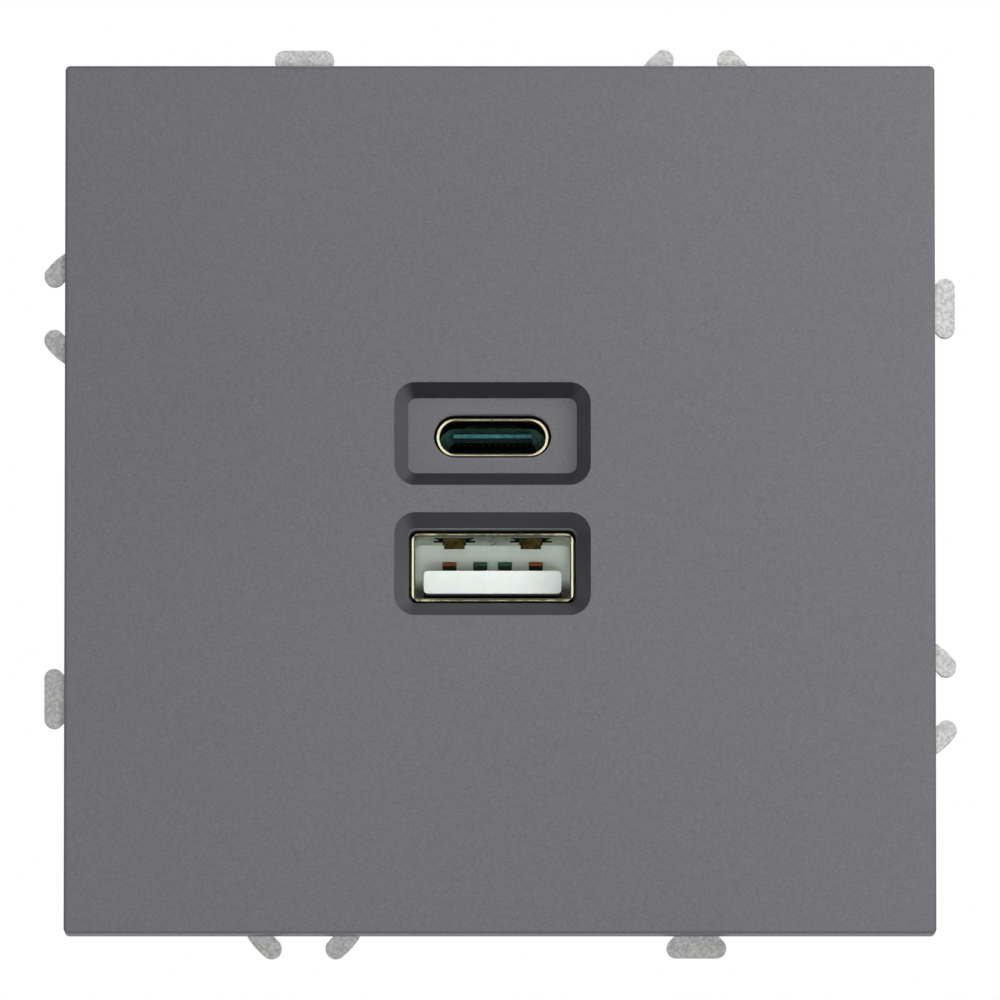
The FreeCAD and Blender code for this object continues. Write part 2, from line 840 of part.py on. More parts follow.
# A finger leans in over the pocket that takes the next frame's head, and ends in a round tip
def add_coupling_finger(sketch, offset, side):
    tip = d.claw_tip_radius
    tip_x = d.claw_tip_gap / 2 + tip
    tip_z = d.claw_reach - tip
    inner = d.claw_pocket_width / 2
    outer = inner + d.claw_finger_width
    root = d.frame_side / 2 - d.coupling_root
    throat = d.frame_side / 2 + d.finger_throat
    inward = (tip_x - tip * math.cos(math.radians(30)), tip_z - tip * math.sin(math.radians(30)))
    outward = (tip_x + tip * math.cos(math.radians(60)), tip_z + tip * math.sin(math.radians(60)))
    corners = [
        (outer, root), (outer, throat - d.finger_shoulder, d.finger_bend), outward + (tip,), inward,
        (inner, throat), (inner, root),
    ]
    add_outline(sketch, [(offset + corner[0],) + corner[1:] for corner in on_side(corners, side)])


# An ear is folded back from the edge of the opening and carries a claw's pin
def add_ear(sketch, sign):
    near = d.case_width / 2 + d.case_clearance
    far = near + d.ear_height
    nose = d.ear_length
    bend = d.ear_round
    foot = -d.ear_foot
    corners = [(near, foot), (far, foot), (far, nose - bend, bend), (far - bend, nose), (near, nose)]
    add_outline(sketch, on_side(corners, sign))
    add_circle(sketch, sign * claw_pivot_x, d.claw_pivot_depth, d.claw_pin_radius)


# Case: the front half carries the flange, the port openings and four posts

def make_front_housing():
    body = new_body("front_housing")
    flange_depth = d.case_front_depth - d.frame_thickness
    flange = new_sketch(body, "FlangeOutline", -d.frame_thickness)
    add_rounded_rectangle(flange, 0, 0, flange_width, flange_height, d.flange_corner)
    pad(body, "Flange", flange, flange_depth)
    lugs = new_sketch(body, "FlangeLugs", -d.frame_thickness)
    lug_end = d.case_width / 2 + d.lug_reach
    for up in (1, -1):
        add_rounded_rectangle(lugs, 0, up * rivet_z, 2 * lug_end, d.lug_width, d.flange_corner)
    pad(body, "FlangeLugPad", lugs, flange_depth)
    outline = new_sketch(body, "CaseOutline", -d.frame_thickness)
    add_chamfered_box(outline, d.case_width, d.case_height, d.case_chamfer)
    pad(body, "CaseBlock", outline, d.case_split + d.frame_thickness, backward=True)
    hollow = new_sketch(body, "CaseHollow", d.case_split)
    add_chamfered_box(hollow, inner_width, inner_height, inner_chamfer)
    pocket(body, "CaseInside", hollow, d.case_split - case_inside, forward=True)
    collar = new_sketch(body, "PortCollars", case_inside)
    wall = d.collar_wall
    ports = ((port_a_z, d.usb_a_width, d.usb_a_height), (port_c_z, d.usb_c_width, d.usb_c_height))
    for level, width, height in ports:
        add_rounded_rectangle(collar, d.port_shift, level, width + 2 * wall, height + 2 * wall, wall)
    pad(body, "Collars", collar, d.collar_length, backward=True)
    posts = new_sketch(body, "Posts", case_inside)
    for right, up in CORNERS:
        add_circle(posts, right * post_x, up * post_z, d.post_radius)
    pad(body, "PostPad", posts, d.port_board_depth - case_inside, backward=True)
    openings = new_sketch(body, "PortOpenings", case_face)
    clear = 2 * d.case_clearance
    mouth_a = (d.usb_a_width + clear, d.usb_a_height + clear, d.usb_a_radius)
    add_rounded_rectangle(openings, d.port_shift, port_a_z, *mouth_a)
    add_stadium(openings, d.port_shift, port_c_z, d.usb_c_width + clear, d.usb_c_height + clear)
    pocket(body, "PortOpeningCuts", openings, case_inside + d.collar_length - case_face)
    bores = new_sketch(body, "PostBores", d.port_board_depth)
    for right, up in CORNERS:
        add_circle(bores, right * post_x, up * post_z, d.case_screw_radius)
    pocket(body, "PostBoreCuts", bores, d.case_screw_bite + d.case_screw_play, forward=True)
    rivets = new_sketch(body, "RivetHoles", case_face)
    for right, up in CORNERS:
        add_circle(rivets, right * rivet_x, up * rivet_z, d.rivet_radius)
    pocket(body, "RivetHoleCuts", rivets, flange_depth)
    return finish(body)


# The rear half closes the case, holds the two terminals and has the wire entries

def make_rear_housing():
    body = new_body("rear_housing")
    outline = new_sketch(body, "RearOutline", d.case_split)
    add_chamfered_box(outline, d.case_width, d.case_height, d.case_chamfer)
    shell = pad(body, "RearBlock", outline, d.case_depth - d.case_split, backward=True)
    depth = d.case_depth.value
    round_edges(body, "RearRound", shell, lambda edge: flat_at(edge, depth), d.case_rear_round)
    lip = new_sketch(body, "RearLip", d.case_split)
    lip_width = inner_width - 2 * d.lip_clearance
    lip_height = inner_height - 2 * d.lip_clearance
    add_chamfered_box(lip, lip_width, lip_height, inner_chamfer)
    pad(body, "RearLipPad", lip, d.lip_length)
    hollow = new_sketch(body, "RearHollow", rear_inside)
    hollow_width = lip_width - 2 * d.lip_wall
    hollow_height = lip_height - 2 * d.lip_wall
    add_chamfered_box(hollow, hollow_width, hollow_height, inner_chamfer)
    pocket(body, "RearInside", hollow, rear_inside - d.case_split + d.lip_length, forward=True)
    posts = new_sketch(body, "RearPosts", rear_inside)
    for right, up in CORNERS:
        add_circle(posts, right * post_x, up * post_z, d.post_radius + d.rear_post_rim)
    pad(body, "RearPostPad", posts, rear_inside - power_board_back)
    block_low = -hollow_height / 2 - d.lip_clearance
    block_high = terminal_ceiling + d.terminal_wall
    terminal_block = new_sketch(body, "TerminalBlock", rear_inside)
    add_box(terminal_block, -block_half, block_half, block_low, block_high)
    pad(body, "TerminalBlockPad", terminal_block, rear_inside - terminal_front)
    chambers = new_sketch(body, "TerminalChambers", terminal_front)
    entries = new_sketch(body, "WireEntries", d.case_depth)
    half_entry = d.wire_entry_width / 2
    for sign in (1, -1):
        centre = sign * terminal_x
        add_box(chambers, centre - half_chamber, centre + half_chamber, chamber_floor, terminal_ceiling)
        add_box(entries, centre - half_entry, centre + half_entry, entry_low, entry_high)
    pocket(body, "ChamberCuts", chambers, chamber_back - terminal_front)
    pocket(body, "WireEntryCuts", entries, d.case_depth - chamber_back, forward=True)
    for name, sign in (("Right", 1), ("Left", -1)):
        centre = sign * terminal_x
        wide = half_entry + d.funnel
        mouth = new_sketch(body, "FunnelMouth" + name, d.case_depth)
        add_box(mouth, centre - wide, centre + wide, entry_low - d.funnel, entry_high + d.funnel)
        throat = new_sketch(body, "FunnelThroat" + name, d.case_depth - d.funnel)
        add_box(throat, centre - half_entry, centre + half_entry, entry_low, entry_high)
        loft_cut(body, "Funnel" + name, mouth, throat)
    drivers = new_sketch(body, "DriverHoles", -d.case_height / 2, "XY_Plane")
    for sign in (1, -1):
        centre = sign * terminal_x
        add_circle(drivers, centre, screw_depth, d.terminal_head_radius + d.terminal_head_play)
    pocket(body, "DriverHoleCuts", drivers, head_top + d.terminal_head_gap + d.case_height / 2, forward=True)
    bores = new_sketch(body, "RearBores", d.case_depth)
    heads = new_sketch(body, "RearCounterbores", d.case_depth)
    for right, up in CORNERS:
        add_circle(bores, right * post_x, up * post_z, d.case_screw_radius + d.board_hole_play)
        add_circle(heads, right * post_x, up * post_z, d.case_screw_head_radius + d.case_screw_play)
    pocket(body, "RearBoreCuts", bores, d.case_depth - power_board_back, forward=True)
    pocket(body, "RearCounterboreCuts", heads, d.case_screw_head + d.case_screw_play, forward=True)
    return finish(body)


# Terminal levels: the cage stands at its highest when the terminal is open

terminal_front = power_board_depth + d.board_hole_play
screw_depth = terminal_front + d.cage_setback + d.cage_length / 2
chamber_back = screw_depth + d.cage_length / 2 + d.cage_clearance
bar_level = -d.case_height / 2 + d.bar_rise
bar_bottom = bar_level - d.bar_thickness
entry_low = bar_level + d.screw_end_play
entry_high = entry_low + d.wire_entry_height
cage_floor = bar_bottom - d.bar_gap
cage_bottom = cage_floor - d.cage_base
cage_ceiling = cage_floor + d.cage_opening
cage_top = cage_ceiling + d.cage_wall
terminal_ceiling = cage_top + d.cage_clearance
head_bottom = -d.case_height / 2 + d.head_recess
head_top = head_bottom + d.terminal_head
chamber_floor = -d.case_height / 2 + d.case_wall + d.bar_gap


def make_terminal(label, sign):
    centre = sign * terminal_x
    cage = new_body(label + "_cage")
    ring = new_sketch(cage, "CageRing", screw_depth - d.cage_length / 2)
    half = d.cage_width / 2
    opening = half - d.cage_wall
    add_box(ring, centre - half, centre + half, cage_bottom, cage_top)
    add_box(ring, centre - opening, centre + opening, cage_floor, cage_ceiling)
    pad(cage, "CagePad", ring, d.cage_length, backward=True)
    thread = new_sketch(cage, "CageThread", cage_bottom, "XY_Plane")
    add_circle(thread, centre, screw_depth, d.terminal_screw_radius + d.screw_play)
    pocket(cage, "CageThreadCut", thread, d.cage_base, forward=True)
    finish(cage)
    screw = new_body(label + "_screw")
    profile = new_sketch(screw, "ScrewProfile", screw_depth, "XZ_Plane")
    shank = d.terminal_screw_radius
    head = d.terminal_head_radius
    tip = bar_bottom - d.screw_end_play
    bevel = d.terminal_bevel
    add_outline(profile, [
        (centre, head_bottom), (centre + head - bevel, head_bottom), (centre + head, head_bottom + bevel),
        (centre + head, head_top), (centre + shank, head_top), (centre + shank, tip), (centre, tip),
    ])
    turned(screw, "ScrewTurned", profile, (profile, ["Edge7"]))
    slot = new_sketch(screw, "ScrewSlot", head_bottom, "XY_Plane")
    half_slot = d.terminal_slot_width / 2
    add_box(slot, centre - head, centre + head, screw_depth - half_slot, screw_depth + half_slot)
    pocket(screw, "ScrewSlotCut", slot, d.terminal_slot_depth, forward=True)
    finish(screw)
    bar = new_body(label + "_bar")
    strip = new_sketch(bar, "BarProfile", centre - d.bar_width / 2, "YZ_Plane")
    near = power_board_depth - d.bar_thickness
    top = board_notch + d.bar_rise_to_board
    add_outline(strip, [
        (near, bar_bottom), (chamber_back, bar_bottom), (chamber_back, bar_level),
        (power_board_depth, bar_level), (power_board_depth, top), (near, top),
    ])
    pad(bar, "BarPad", strip, d.bar_width)
    finish(bar)


# Boards

board_notch = terminal_ceiling + d.terminal_wall + d.terminal_gap


def add_board_holes(sketch):
    for right, up in CORNERS:
        add_circle(sketch, right * post_x, up * post_z, d.case_screw_radius + d.board_hole_play)


def make_boards():
    port_board = new_body("port_board")
    outline = new_sketch(port_board, "PortBoardOutline", d.port_board_depth)
    clear = 2 * d.board_clearance
    add_chamfered_box(outline, inner_width - clear, inner_height - clear, inner_chamfer)
    add_board_holes(outline)
    pad(port_board, "PortBoardPad", outline, d.board_thickness, backward=True)
    finish(port_board)
    power_board = new_body("power_board")
    shape = new_sketch(power_board, "PowerBoardOutline", power_board_depth)
    side = board_side
    top = board_top
    chamfer = inner_chamfer
    notch = block_half + d.terminal_gap
    foot = chamfer + notch - side - top
    add_outline(shape, [
        (-notch, foot), (-notch, board_notch), (notch, board_notch), (notch, foot), (side, -top + chamfer),
        (side, top - chamfer), (side - chamfer, top), (-side + chamfer, top), (-side, top - chamfer),
        (-side, -top + chamfer),
    ])
    add_board_holes(shape)
    pad(power_board, "PowerBoardPad", shape, d.board_thickness, backward=True)
    finish(power_board)
    spacers = new_body("board_spacers")
    rings = new_sketch(spacers, "SpacerRings", port_board_back)
    for right, up in CORNERS:
        add_hexagon(rings, right * post_x, up * post_z, d.post_radius)
        add_circle(rings, right * post_x, up * post_z, d.case_screw_radius + d.hole_play)
    pad(spacers, "SpacerPad", rings, power_board_depth - port_board_back, backward=True)
    finish(spacers)


# Ports

def make_usb_a():
    half_height = d.usb_a_height / 2
    inner_radius = d.usb_a_radius - d.usb_a_wall
    inner = (d.usb_a_width - 2 * d.usb_a_wall, d.usb_a_height - 2 * d.usb_a_wall, inner_radius)
    wall_depth = usb_front + d.usb_a_cavity
    make_usb_a_shell(half_height, inner)
    tongue_z = port_a_z - d.tongue_a_drop
    tongue_top = tongue_z + d.tongue_a_thickness / 2
    tongue_front = usb_front + d.tongue_a_setback
    groove_low = tongue_top - d.contact_a_groove
    window_z = port_a_z + d.contact_window_rise

    insulator = new_body("usb_a_insulator")
    base = new_sketch(insulator, "InsulatorBase", wall_depth)
    add_rounded_rectangle(base, d.port_shift, port_a_z, *inner)
    pad(insulator, "InsulatorBasePad", base, d.port_board_depth - wall_depth, backward=True)
    tongue = new_sketch(insulator, "TongueOutline", tongue_front)
    tongue_size = (d.tongue_a_width, d.tongue_a_thickness, d.tongue_a_radius)
    add_rounded_rectangle(tongue, d.port_shift, tongue_z, *tongue_size)
    pad(insulator, "TonguePad", tongue, d.port_board_depth - tongue_front, backward=True)
    windows = new_sketch(insulator, "ContactWindows", wall_depth)
    grooves = new_sketch(insulator, "ContactGrooves", tongue_front + d.contact_a_setback)
    half_window = d.contact_window_width / 2
    half_groove = d.contact_a_width / 2 + d.contact_a_play
    window_low = window_z - d.contact_window_height / 2
    for centre in contact_places():
        add_box(windows, centre - half_window, centre + half_window, window_low,
                window_low + d.contact_window_height)
        add_box(grooves, centre - half_groove, centre + half_groove, groove_low,
                groove_low + d.contact_a_thickness + d.contact_a_groove)
    pocket(insulator, "ContactWindowCuts", windows, d.port_board_depth - wall_depth)
    pocket(insulator, "ContactGrooveCuts", grooves, d.usb_a_cavity - d.tongue_a_setback - d.contact_a_setback)
    finish(insulator)

    contacts = new_body("usb_a_contacts")
    lead = d.contact_a_thickness
    begin = tongue_front + d.contact_a_setback + d.contact_a_play
    bend_back = wall_depth - d.contact_a_bend
    bend_front = bend_back - d.contact_a_rise
    upper = window_z - d.contact_a_play
    slip = lead / 2
    for place, centre in enumerate(contact_places()):
        strip = new_sketch(contacts, "Contact%d" % place, centre - d.contact_a_width / 2, "YZ_Plane")
        add_outline(strip, [
            (begin, groove_low), (bend_front, groove_low), (bend_back, upper), (d.port_board_depth, upper),
            (d.port_board_depth, upper + lead), (bend_back - slip, upper + lead),
            (bend_front - slip, groove_low + lead), (begin, groove_low + lead),
        ])
        pad(contacts, "ContactPad%d" % place, strip, d.contact_a_width)
    finish(contacts)


# The shell is a folded tube with a pair of spring fingers, bent inwards, in its top and in its bottom
def make_usb_a_shell(half_height, inner):
    shell = new_body("usb_a_shell")
    outline = new_sketch(shell, "ShellOutline", usb_front)
    add_rounded_rectangle(outline, d.port_shift, port_a_z, d.usb_a_width, d.usb_a_height, d.usb_a_radius)
    add_rounded_rectangle(outline, d.port_shift, port_a_z, *inner)
    pad(shell, "ShellTube", outline, d.port_board_depth - usb_front, backward=True)
    windows = new_sketch(shell, "SpringWindows", port_a_z - half_height, "XY_Plane")
    start = usb_front + d.spring_start
    end = start + d.spring_length
    half = d.spring_width / 2
    wing = half + d.spring_wing
    wing_root = start + d.spring_wing_start
    wing_start = wing_root + d.spring_wing_slant
    wing_end = start + d.spring_wing_end
    for sign in (1, -1):
        centre = d.port_shift + sign * d.spring_offset
        add_outline(windows, [
            (centre - half, start), (centre + half, start), (centre + half, wing_root),
            (centre + wing, wing_start), (centre + wing, wing_end), (centre + half, wing_end),
            (centre + half, end), (centre - half, end), (centre - half, wing_end),
            (centre - wing, wing_end), (centre - wing, wing_start), (centre - half, wing_root),
        ])
    pocket(shell, "SpringWindowCuts", windows, d.usb_a_height, forward=True)
    root = start - d.spring_root
    bend = start + d.spring_bend
    tip = end - d.spring_tip
    lip = tip - d.spring_lip
    for name, up in (("Top", 1), ("Bottom", -1)):
        outer = port_a_z + up * (half_height - d.spring_flush)
        sheet_in = port_a_z + up * (half_height - d.usb_a_wall)
        dip = up * d.spring_dip
        lift = up * d.spring_lift
        corners = [
            (root, outer), (bend, outer), (lip, outer - dip), (tip, outer - lift), (tip, sheet_in - lift),
            (lip, sheet_in - dip), (bend, sheet_in), (root, sheet_in),
        ]
        if up > 0:
            corners.reverse()
        for side_name, sign in (("Right", 1), ("Left", -1)):
            left_edge = d.port_shift + sign * d.spring_offset - half + d.spring_play
            finger = new_sketch(shell, "Finger" + name + side_name, left_edge, "YZ_Plane")
            add_outline(finger, corners)
            pad(shell, finger.Name + "Pad", finger, d.spring_width - 2 * d.spring_play)
    finish(shell)


def contact_places():
    return [d.port_shift + offset for offset in
            (-d.contact_a_outer, -d.contact_a_inner, d.contact_a_inner, d.contact_a_outer)]


def make_usb_c():
    shell = new_body("usb_c_shell")
    outline = new_sketch(shell, "RoundShell", usb_front)
    inner_width_c = d.usb_c_width - 2 * d.usb_c_wall
    inner_height_c = d.usb_c_height - 2 * d.usb_c_wall
    add_stadium(outline, d.port_shift, port_c_z, d.usb_c_width, d.usb_c_height)
    add_stadium(outline, d.port_shift, port_c_z, inner_width_c, inner_height_c)
    pad(shell, "RoundShellTube", outline, d.port_board_depth - usb_front, backward=True)
    finish(shell)
    insulator = new_body("usb_c_insulator")
    floor_depth = usb_front + d.usb_c_cavity
    base = new_sketch(insulator, "BaseOutline", floor_depth)
    add_stadium(base, d.port_shift, port_c_z, inner_width_c, inner_height_c)
    pad(insulator, "BasePad", base, d.port_board_depth - floor_depth, backward=True)
    recess = new_sketch(insulator, "BaseRecess", floor_depth)
    rim = 2 * d.usb_c_recess_rim
    add_stadium(recess, d.port_shift, port_c_z, inner_width_c - rim, inner_height_c - rim)
    pocket(insulator, "BaseRecessCut", recess, d.usb_c_recess)
    tongue = new_sketch(insulator, "TongueC", usb_front + d.tongue_c_setback)
    half_tongue = d.tongue_c_width / 2
    half_thick = d.tongue_c_thickness / 2
    add_box(tongue, d.port_shift - half_tongue, d.port_shift + half_tongue, port_c_z - half_thick,
            port_c_z + half_thick)
    pad(insulator, "TongueCPad", tongue, d.port_board_depth - usb_front - d.tongue_c_setback, backward=True)
    finish(insulator)
    contacts = new_body("usb_c_contacts")
    strips = new_sketch(contacts, "StripsC", usb_front + d.tongue_c_setback + d.contact_c_setback)
    half = d.contact_c_width / 2
    face = d.tongue_c_thickness / 2
    for place in range(12):
        centre = d.port_shift + (place - 5.5) * d.contact_c_pitch
        for up in (1, -1):
            low, high = in_order(port_c_z + up * face, port_c_z + up * (face + d.contact_c_thickness))
            add_box(strips, centre - half, centre + half, low, high)
    pad(contacts, "StripPadC", strips, d.contact_c_length, backward=True)
    finish(contacts)


# Fixing claws: each swings on a pin in the frame's ears when its screw draws the arm forward

def make_claw(label, sign):
    claw = new_body(label + "_claw")
    low = -d.claw_width / 2
    profile = new_sketch(claw, "ClawProfile", low, "XY_Plane")
    knuckle = d.claw_knuckle_radius
    front = d.claw_pivot_depth - d.claw_sheet / 2
    back = front + d.claw_sheet
    inside = claw_screw_x + claw_screw_hole
    outer = inside + d.claw_sheet
    end = front + d.claw_leg
    bend = d.claw_bend
    corners = [(claw_pivot_x, front), (outer - bend, front, bend), (outer, front + bend)]
    for place in (3, 2, 1):
        root = end - place * d.claw_tooth_pitch
        corners += [(outer, root), (outer + d.claw_tooth, root + d.claw_tooth)]
    corners += [(outer, end), (inside, end), (inside, back), (claw_pivot_x, back)]
    add_outline(profile, on_side(corners, sign))
    pad(claw, "ClawPad", profile, d.claw_width)
    eye = new_sketch(claw, "ClawEye", low, "XY_Plane")
    add_circle(eye, sign * claw_pivot_x, d.claw_pivot_depth, knuckle)
    pad(claw, "ClawEyePad", eye, d.claw_width)
    bore = new_sketch(claw, "ClawBore", low, "XY_Plane")
    add_circle(bore, sign * claw_pivot_x, d.claw_pivot_depth, d.claw_pin_radius + d.claw_pin_play)
    pocket(claw, "ClawBoreCut", bore, d.claw_width, forward=True)
    slot = new_sketch(claw, "ClawSlot", d.claw_pivot_depth - knuckle - d.claw_slot_play)
    reach = claw_screw_hole + d.hole_play
    left, right = in_order(sign * (claw_pivot_x - knuckle - d.claw_slot_play),
                           sign * (inside + 3 * d.claw_slot_play))
    add_box(slot, left, right, -reach, reach)
    pocket(claw, "ClawSlotCut", slot, 2 * (knuckle + d.claw_slot_play))
    finish(claw)
    screw = new_body(label + "_claw_screw")
    profile = new_sketch(screw, "ClawScrewProfile", 0, "XY_Plane")
    axis = sign * claw_screw_x
    head_back = -d.frame_thickness - d.claw_pin_play
    head_front = head_back - d.claw_head
    tip = head_back + d.claw_screw_length
    bevel = d.head_bevel
    add_outline(profile, [
        (axis, head_front), (axis + d.claw_head_radius - bevel, head_front),
        (axis + d.claw_head_radius, head_front + bevel), (axis + d.claw_head_radius, head_back),
        (axis + d.claw_screw_radius, head_back), (axis + d.claw_screw_radius, tip - bevel),
        (axis + d.claw_screw_radius - bevel, tip), (axis, tip),
    ])
    turned(screw, "ClawScrewTurned", profile, (profile, ["Edge8"]))
    cross = new_sketch(screw, "CrossSlot", head_front)
    far = d.claw_head_radius * d.cross_share
    near = d.cross_width / 2
    add_outline(cross, [
        (axis - far, -near), (axis - near, -near), (axis - near, -far), (axis + near, -far),
        (axis + near, -near), (axis + far, -near), (axis + far, near), (axis + near, near),
        (axis + near, far), (axis - near, far), (axis - near, near), (axis - far, near),
    ])
    pocket(screw, "CrossSlotCut", cross, d.cross_depth)
    finish(screw)


def make_claw_pins():
    reach = d.claw_width / 2 + d.ear_gap + d.ear_thickness
    pins = []
    for place, sign in enumerate((1, -1)):
        pins.append(rod("ClawPin%d" % place, "z", d.claw_pin_radius, 2 * reach, sign * claw_pivot_x,
                        d.claw_pivot_depth, -reach))
    finish(fused("claw_pins", pins))


# Fasteners of the case

def make_fasteners():
    screws = []
    rivets = []
    seat = d.case_depth - d.case_screw_head - d.case_screw_play
    crown = seat + d.case_screw_head
    bottom = d.port_board_depth - d.case_screw_bite
    half_slot = d.case_screw_slot / 2
    for place, (right, up) in enumerate(CORNERS):
        x = right * post_x
        z = up * post_z
        hole_x = right * rivet_x
        hole_z = up * rivet_z
        wide = d.case_screw_head_radius
        shank = rod("CaseScrewShank%d" % place, "y", d.case_screw_radius, seat - bottom, x, bottom, z)
        head = rod("CaseScrewHead%d" % place, "y", wide, d.case_screw_head, x, seat, z)
        whole = fused("CaseScrew%d" % place, [shank, head])
        recess = block("CaseScrewSlot%d" % place, x - wide, x + wide, crown - d.case_screw_slot, crown,
                       z - half_slot, z + half_slot)
        screws.append(cut_from("SlottedScrew%d" % place, whole, [recess]))
        stem = rod("RivetShank%d" % place, "y", d.rivet_radius, d.case_front_depth, hole_x, case_face, hole_z)
        crest = case_face - d.rivet_head
        cap = rod("RivetHead%d" % place, "y", d.rivet_head_radius, d.rivet_head, hole_x, crest, hole_z)
        rivets.append(fused("Rivet%d" % place, [stem, cap]))
    finish(fused("housing_screws", screws))
    finish(fused("frame_rivets", rivets))


# Components between the boards

def make_components():
    seat = power_board_depth
    gap = d.component_gap
    room = seat - port_board_back
    tall = room - d.tall_headroom
    low = room * d.low_part_share
    edge = board_side - gap
    top = post_z - d.post_radius
    column = 2 * top

    can = column * d.mains_capacitor_share
    can_z = top - can
    finish(rod("mains_capacitor", "y", can, tall, can + gap - edge, seat - tall, can_z))
    small = column * d.output_capacitor_share
    levels = (top - small, top - 3 * small - gap)
    cans = [rod("OutputCan%d" % place, "y", small, low, edge - gap - small, seat - low, level)
            for place, level in enumerate(levels)]
    finish(fused("output_capacitors", cans))
    link = column * d.fuse_share
    finish(rod("fuse", "y", link, low, edge - gap - link, seat - low, levels[1] - small - gap - link))
    drum = column * d.choke_share
    drum_x = drum + 2 * gap - edge
    drum_z = can_z - can - 2 * gap - drum
    ends = []
    for place, start in enumerate((seat - low, seat - d.choke_flange)):
        end = start + d.choke_flange
        ends.append(block("ChokeFlange%d" % place, drum_x - drum, drum_x + drum, start, end, drum_z - drum,
                          drum_z + drum))
    coil = rod("ChokeCoil", "y", drum - gap, low, drum_x, seat - low, drum_z)
    finish(fused("choke", [coil] + ends))

    half_core = edge - 2 * can - gap - d.transformer_margin
    core_high = board_top - d.transformer_inset
    core_low = core_high - (board_top - board_notch) * d.transformer_share
    make_transformer(half_core, core_low, core_high, seat - tall, seat)
    bridge_low = board_notch + gap
    bridge_high = bridge_low + d.bridge_height
    finish(block("bridge_rectifier", -half_core / 2, half_core / 2, seat - d.bridge_thickness, seat,
                 bridge_low, bridge_high))
    finish(block("suppression_capacitor", gap - half_core, half_core - gap, seat - low, seat,
                 bridge_high + gap, core_low - d.component_spacing))
    chip_level = d.chip_inset - inner_height / 2
    places = [(-d.port_chip_offset, d.port_chip_level)]
    places += [(sign * d.chip_offset, chip_level) for sign in (1, -1)]
    chips = []
    for place, (x, z) in enumerate(places):
        chips.append(block("Chip%d" % place, x - d.chip_width / 2, x + d.chip_width / 2, port_board_back,
                           port_board_back + d.chip_thickness, z - d.chip_height / 2, z + d.chip_height / 2))
    finish(fused("control_chips", chips))
    pins = []
    count = int(d.link_count.value)
    link_low = board_top - d.link_inset
    for place in range(count):
        x = (place - (count - 1) / 2) * d.link_pitch - d.link_side / 2
        pins.append(block("LinkPin%d" % place, x, x + d.link_side, port_board_back, seat, link_low,
                          link_low + d.link_side))
    finish(fused("link_pins", pins))


# The core is a frame round the winding, whose two cheeks fill its window and stand on the board
def make_transformer(half, low, high, front, back):
    gap = d.component_gap
    limb = d.core_limb
    cheek = d.coil_cheek
    core = block("CoreBlock", -half, half, front + gap, back - gap, low, high)
    window = block("CoreWindow", limb - half, half - limb, front, back, low + limb, high - limb)
    finish(cut_from("transformer_core", core, [window]))
    cheeks = []
    for place, start in enumerate((front, back - cheek)):
        cheeks.append(block("CoilCheek%d" % place, limb - half, half - limb, start, start + cheek, low + limb,
                            high - limb))
    inset = limb + gap / 2
    coil = block("CoilBlock", inset - half, half - inset, front, back, low + inset, high - inset)
    finish(fused("transformer_winding", [coil] + cheeks))


make_cover()
make_frame()
make_front_housing()
make_rear_housing()
make_usb_a()
make_usb_c()
make_boards()
make_terminal("live", 1)
make_terminal("neutral", -1)
make_claw("left", -1)
make_claw("right", 1)
make_claw_pins()
make_fasteners()
make_components()

doc.recompute()

# Every feature has to be sound before anything is written

for thing in doc.Objects:
    if "Invalid" in thing.State or "Error" in thing.State:
        raise RuntimeError("%s failed" % thing.Name)
for feature in CUTS:
    before = feature.Base.Shape if feature.TypeId == "Part::Cut" else feature.BaseFeature.Shape
    if feature.Shape.Volume > before.Volume - 1e-6:
        raise RuntimeError("%s removes nothing" % feature.Name)
for piece in PIECES:
    shape = piece.Shape
    if shape.isNull() or not shape.isValid() or not shape.Solids:
        raise RuntimeError("%s has no sound shape" % piece.Label)
    print("%-24s %2d solids %10.2f mm3" % (piece.Label, len(shape.Solids), shape.Volume))
    shape.exportStep("parts/%s.step" % piece.Label)
print(len(PIECES), "pieces")
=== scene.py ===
import math

import bpy
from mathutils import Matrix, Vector


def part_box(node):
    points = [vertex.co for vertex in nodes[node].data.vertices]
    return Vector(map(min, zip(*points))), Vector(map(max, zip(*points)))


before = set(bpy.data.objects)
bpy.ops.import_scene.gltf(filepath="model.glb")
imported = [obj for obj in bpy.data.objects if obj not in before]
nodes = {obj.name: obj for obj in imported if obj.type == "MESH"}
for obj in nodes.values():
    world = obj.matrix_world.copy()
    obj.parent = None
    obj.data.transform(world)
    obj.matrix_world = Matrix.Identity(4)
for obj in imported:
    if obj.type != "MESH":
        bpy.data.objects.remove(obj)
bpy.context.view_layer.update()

# A painted square wall socket with two charging ports, seen from the front and a little from below

mm = 0.001
print("loaded", len(nodes), "nodes")


# The usual curve from sRGB to linear
def hexToLinear(text):
    values = [int(text[i:i + 2], 16) / 255 for i in (1, 3, 5)]
    return [v / 12.92 if v <= 0.04045 else ((v + 0.055) / 1.055) ** 2.4 for v in values] + [1.0]


# An input takes a value, a hex colour, a socket, or a node, whose first output is then linked. Map Range has
# its value at 0, where that comes from at 1 and 2, and where it goes to at 3 and 4. A colour mix has its
# factor at 0 and its two colours at 6 and 7
def addNode(tree, kind, inputs=None, stops=None, **settings):
    node = tree.nodes.new(kind)
    for key, value in settings.items():
        setattr(node, key, value)
    for key, value in (inputs or {}).items():
        if isinstance(value, bpy.types.Node):
            value = value.outputs[0]
        if isinstance(value, bpy.types.NodeSocket):
            tree.links.new(value, node.inputs[key])
        else:
            node.inputs[key].default_value = hexToLinear(value) if isinstance(value, str) else value
    if stops:
        stops = list(stops)
        elements = node.color_ramp.elements
        while len(elements) < len(stops):
            elements.new(0.5)
        for element, (position, colour) in zip(elements, stops):
            element.position = position
            element.color = hexToLinear(colour)
    return node


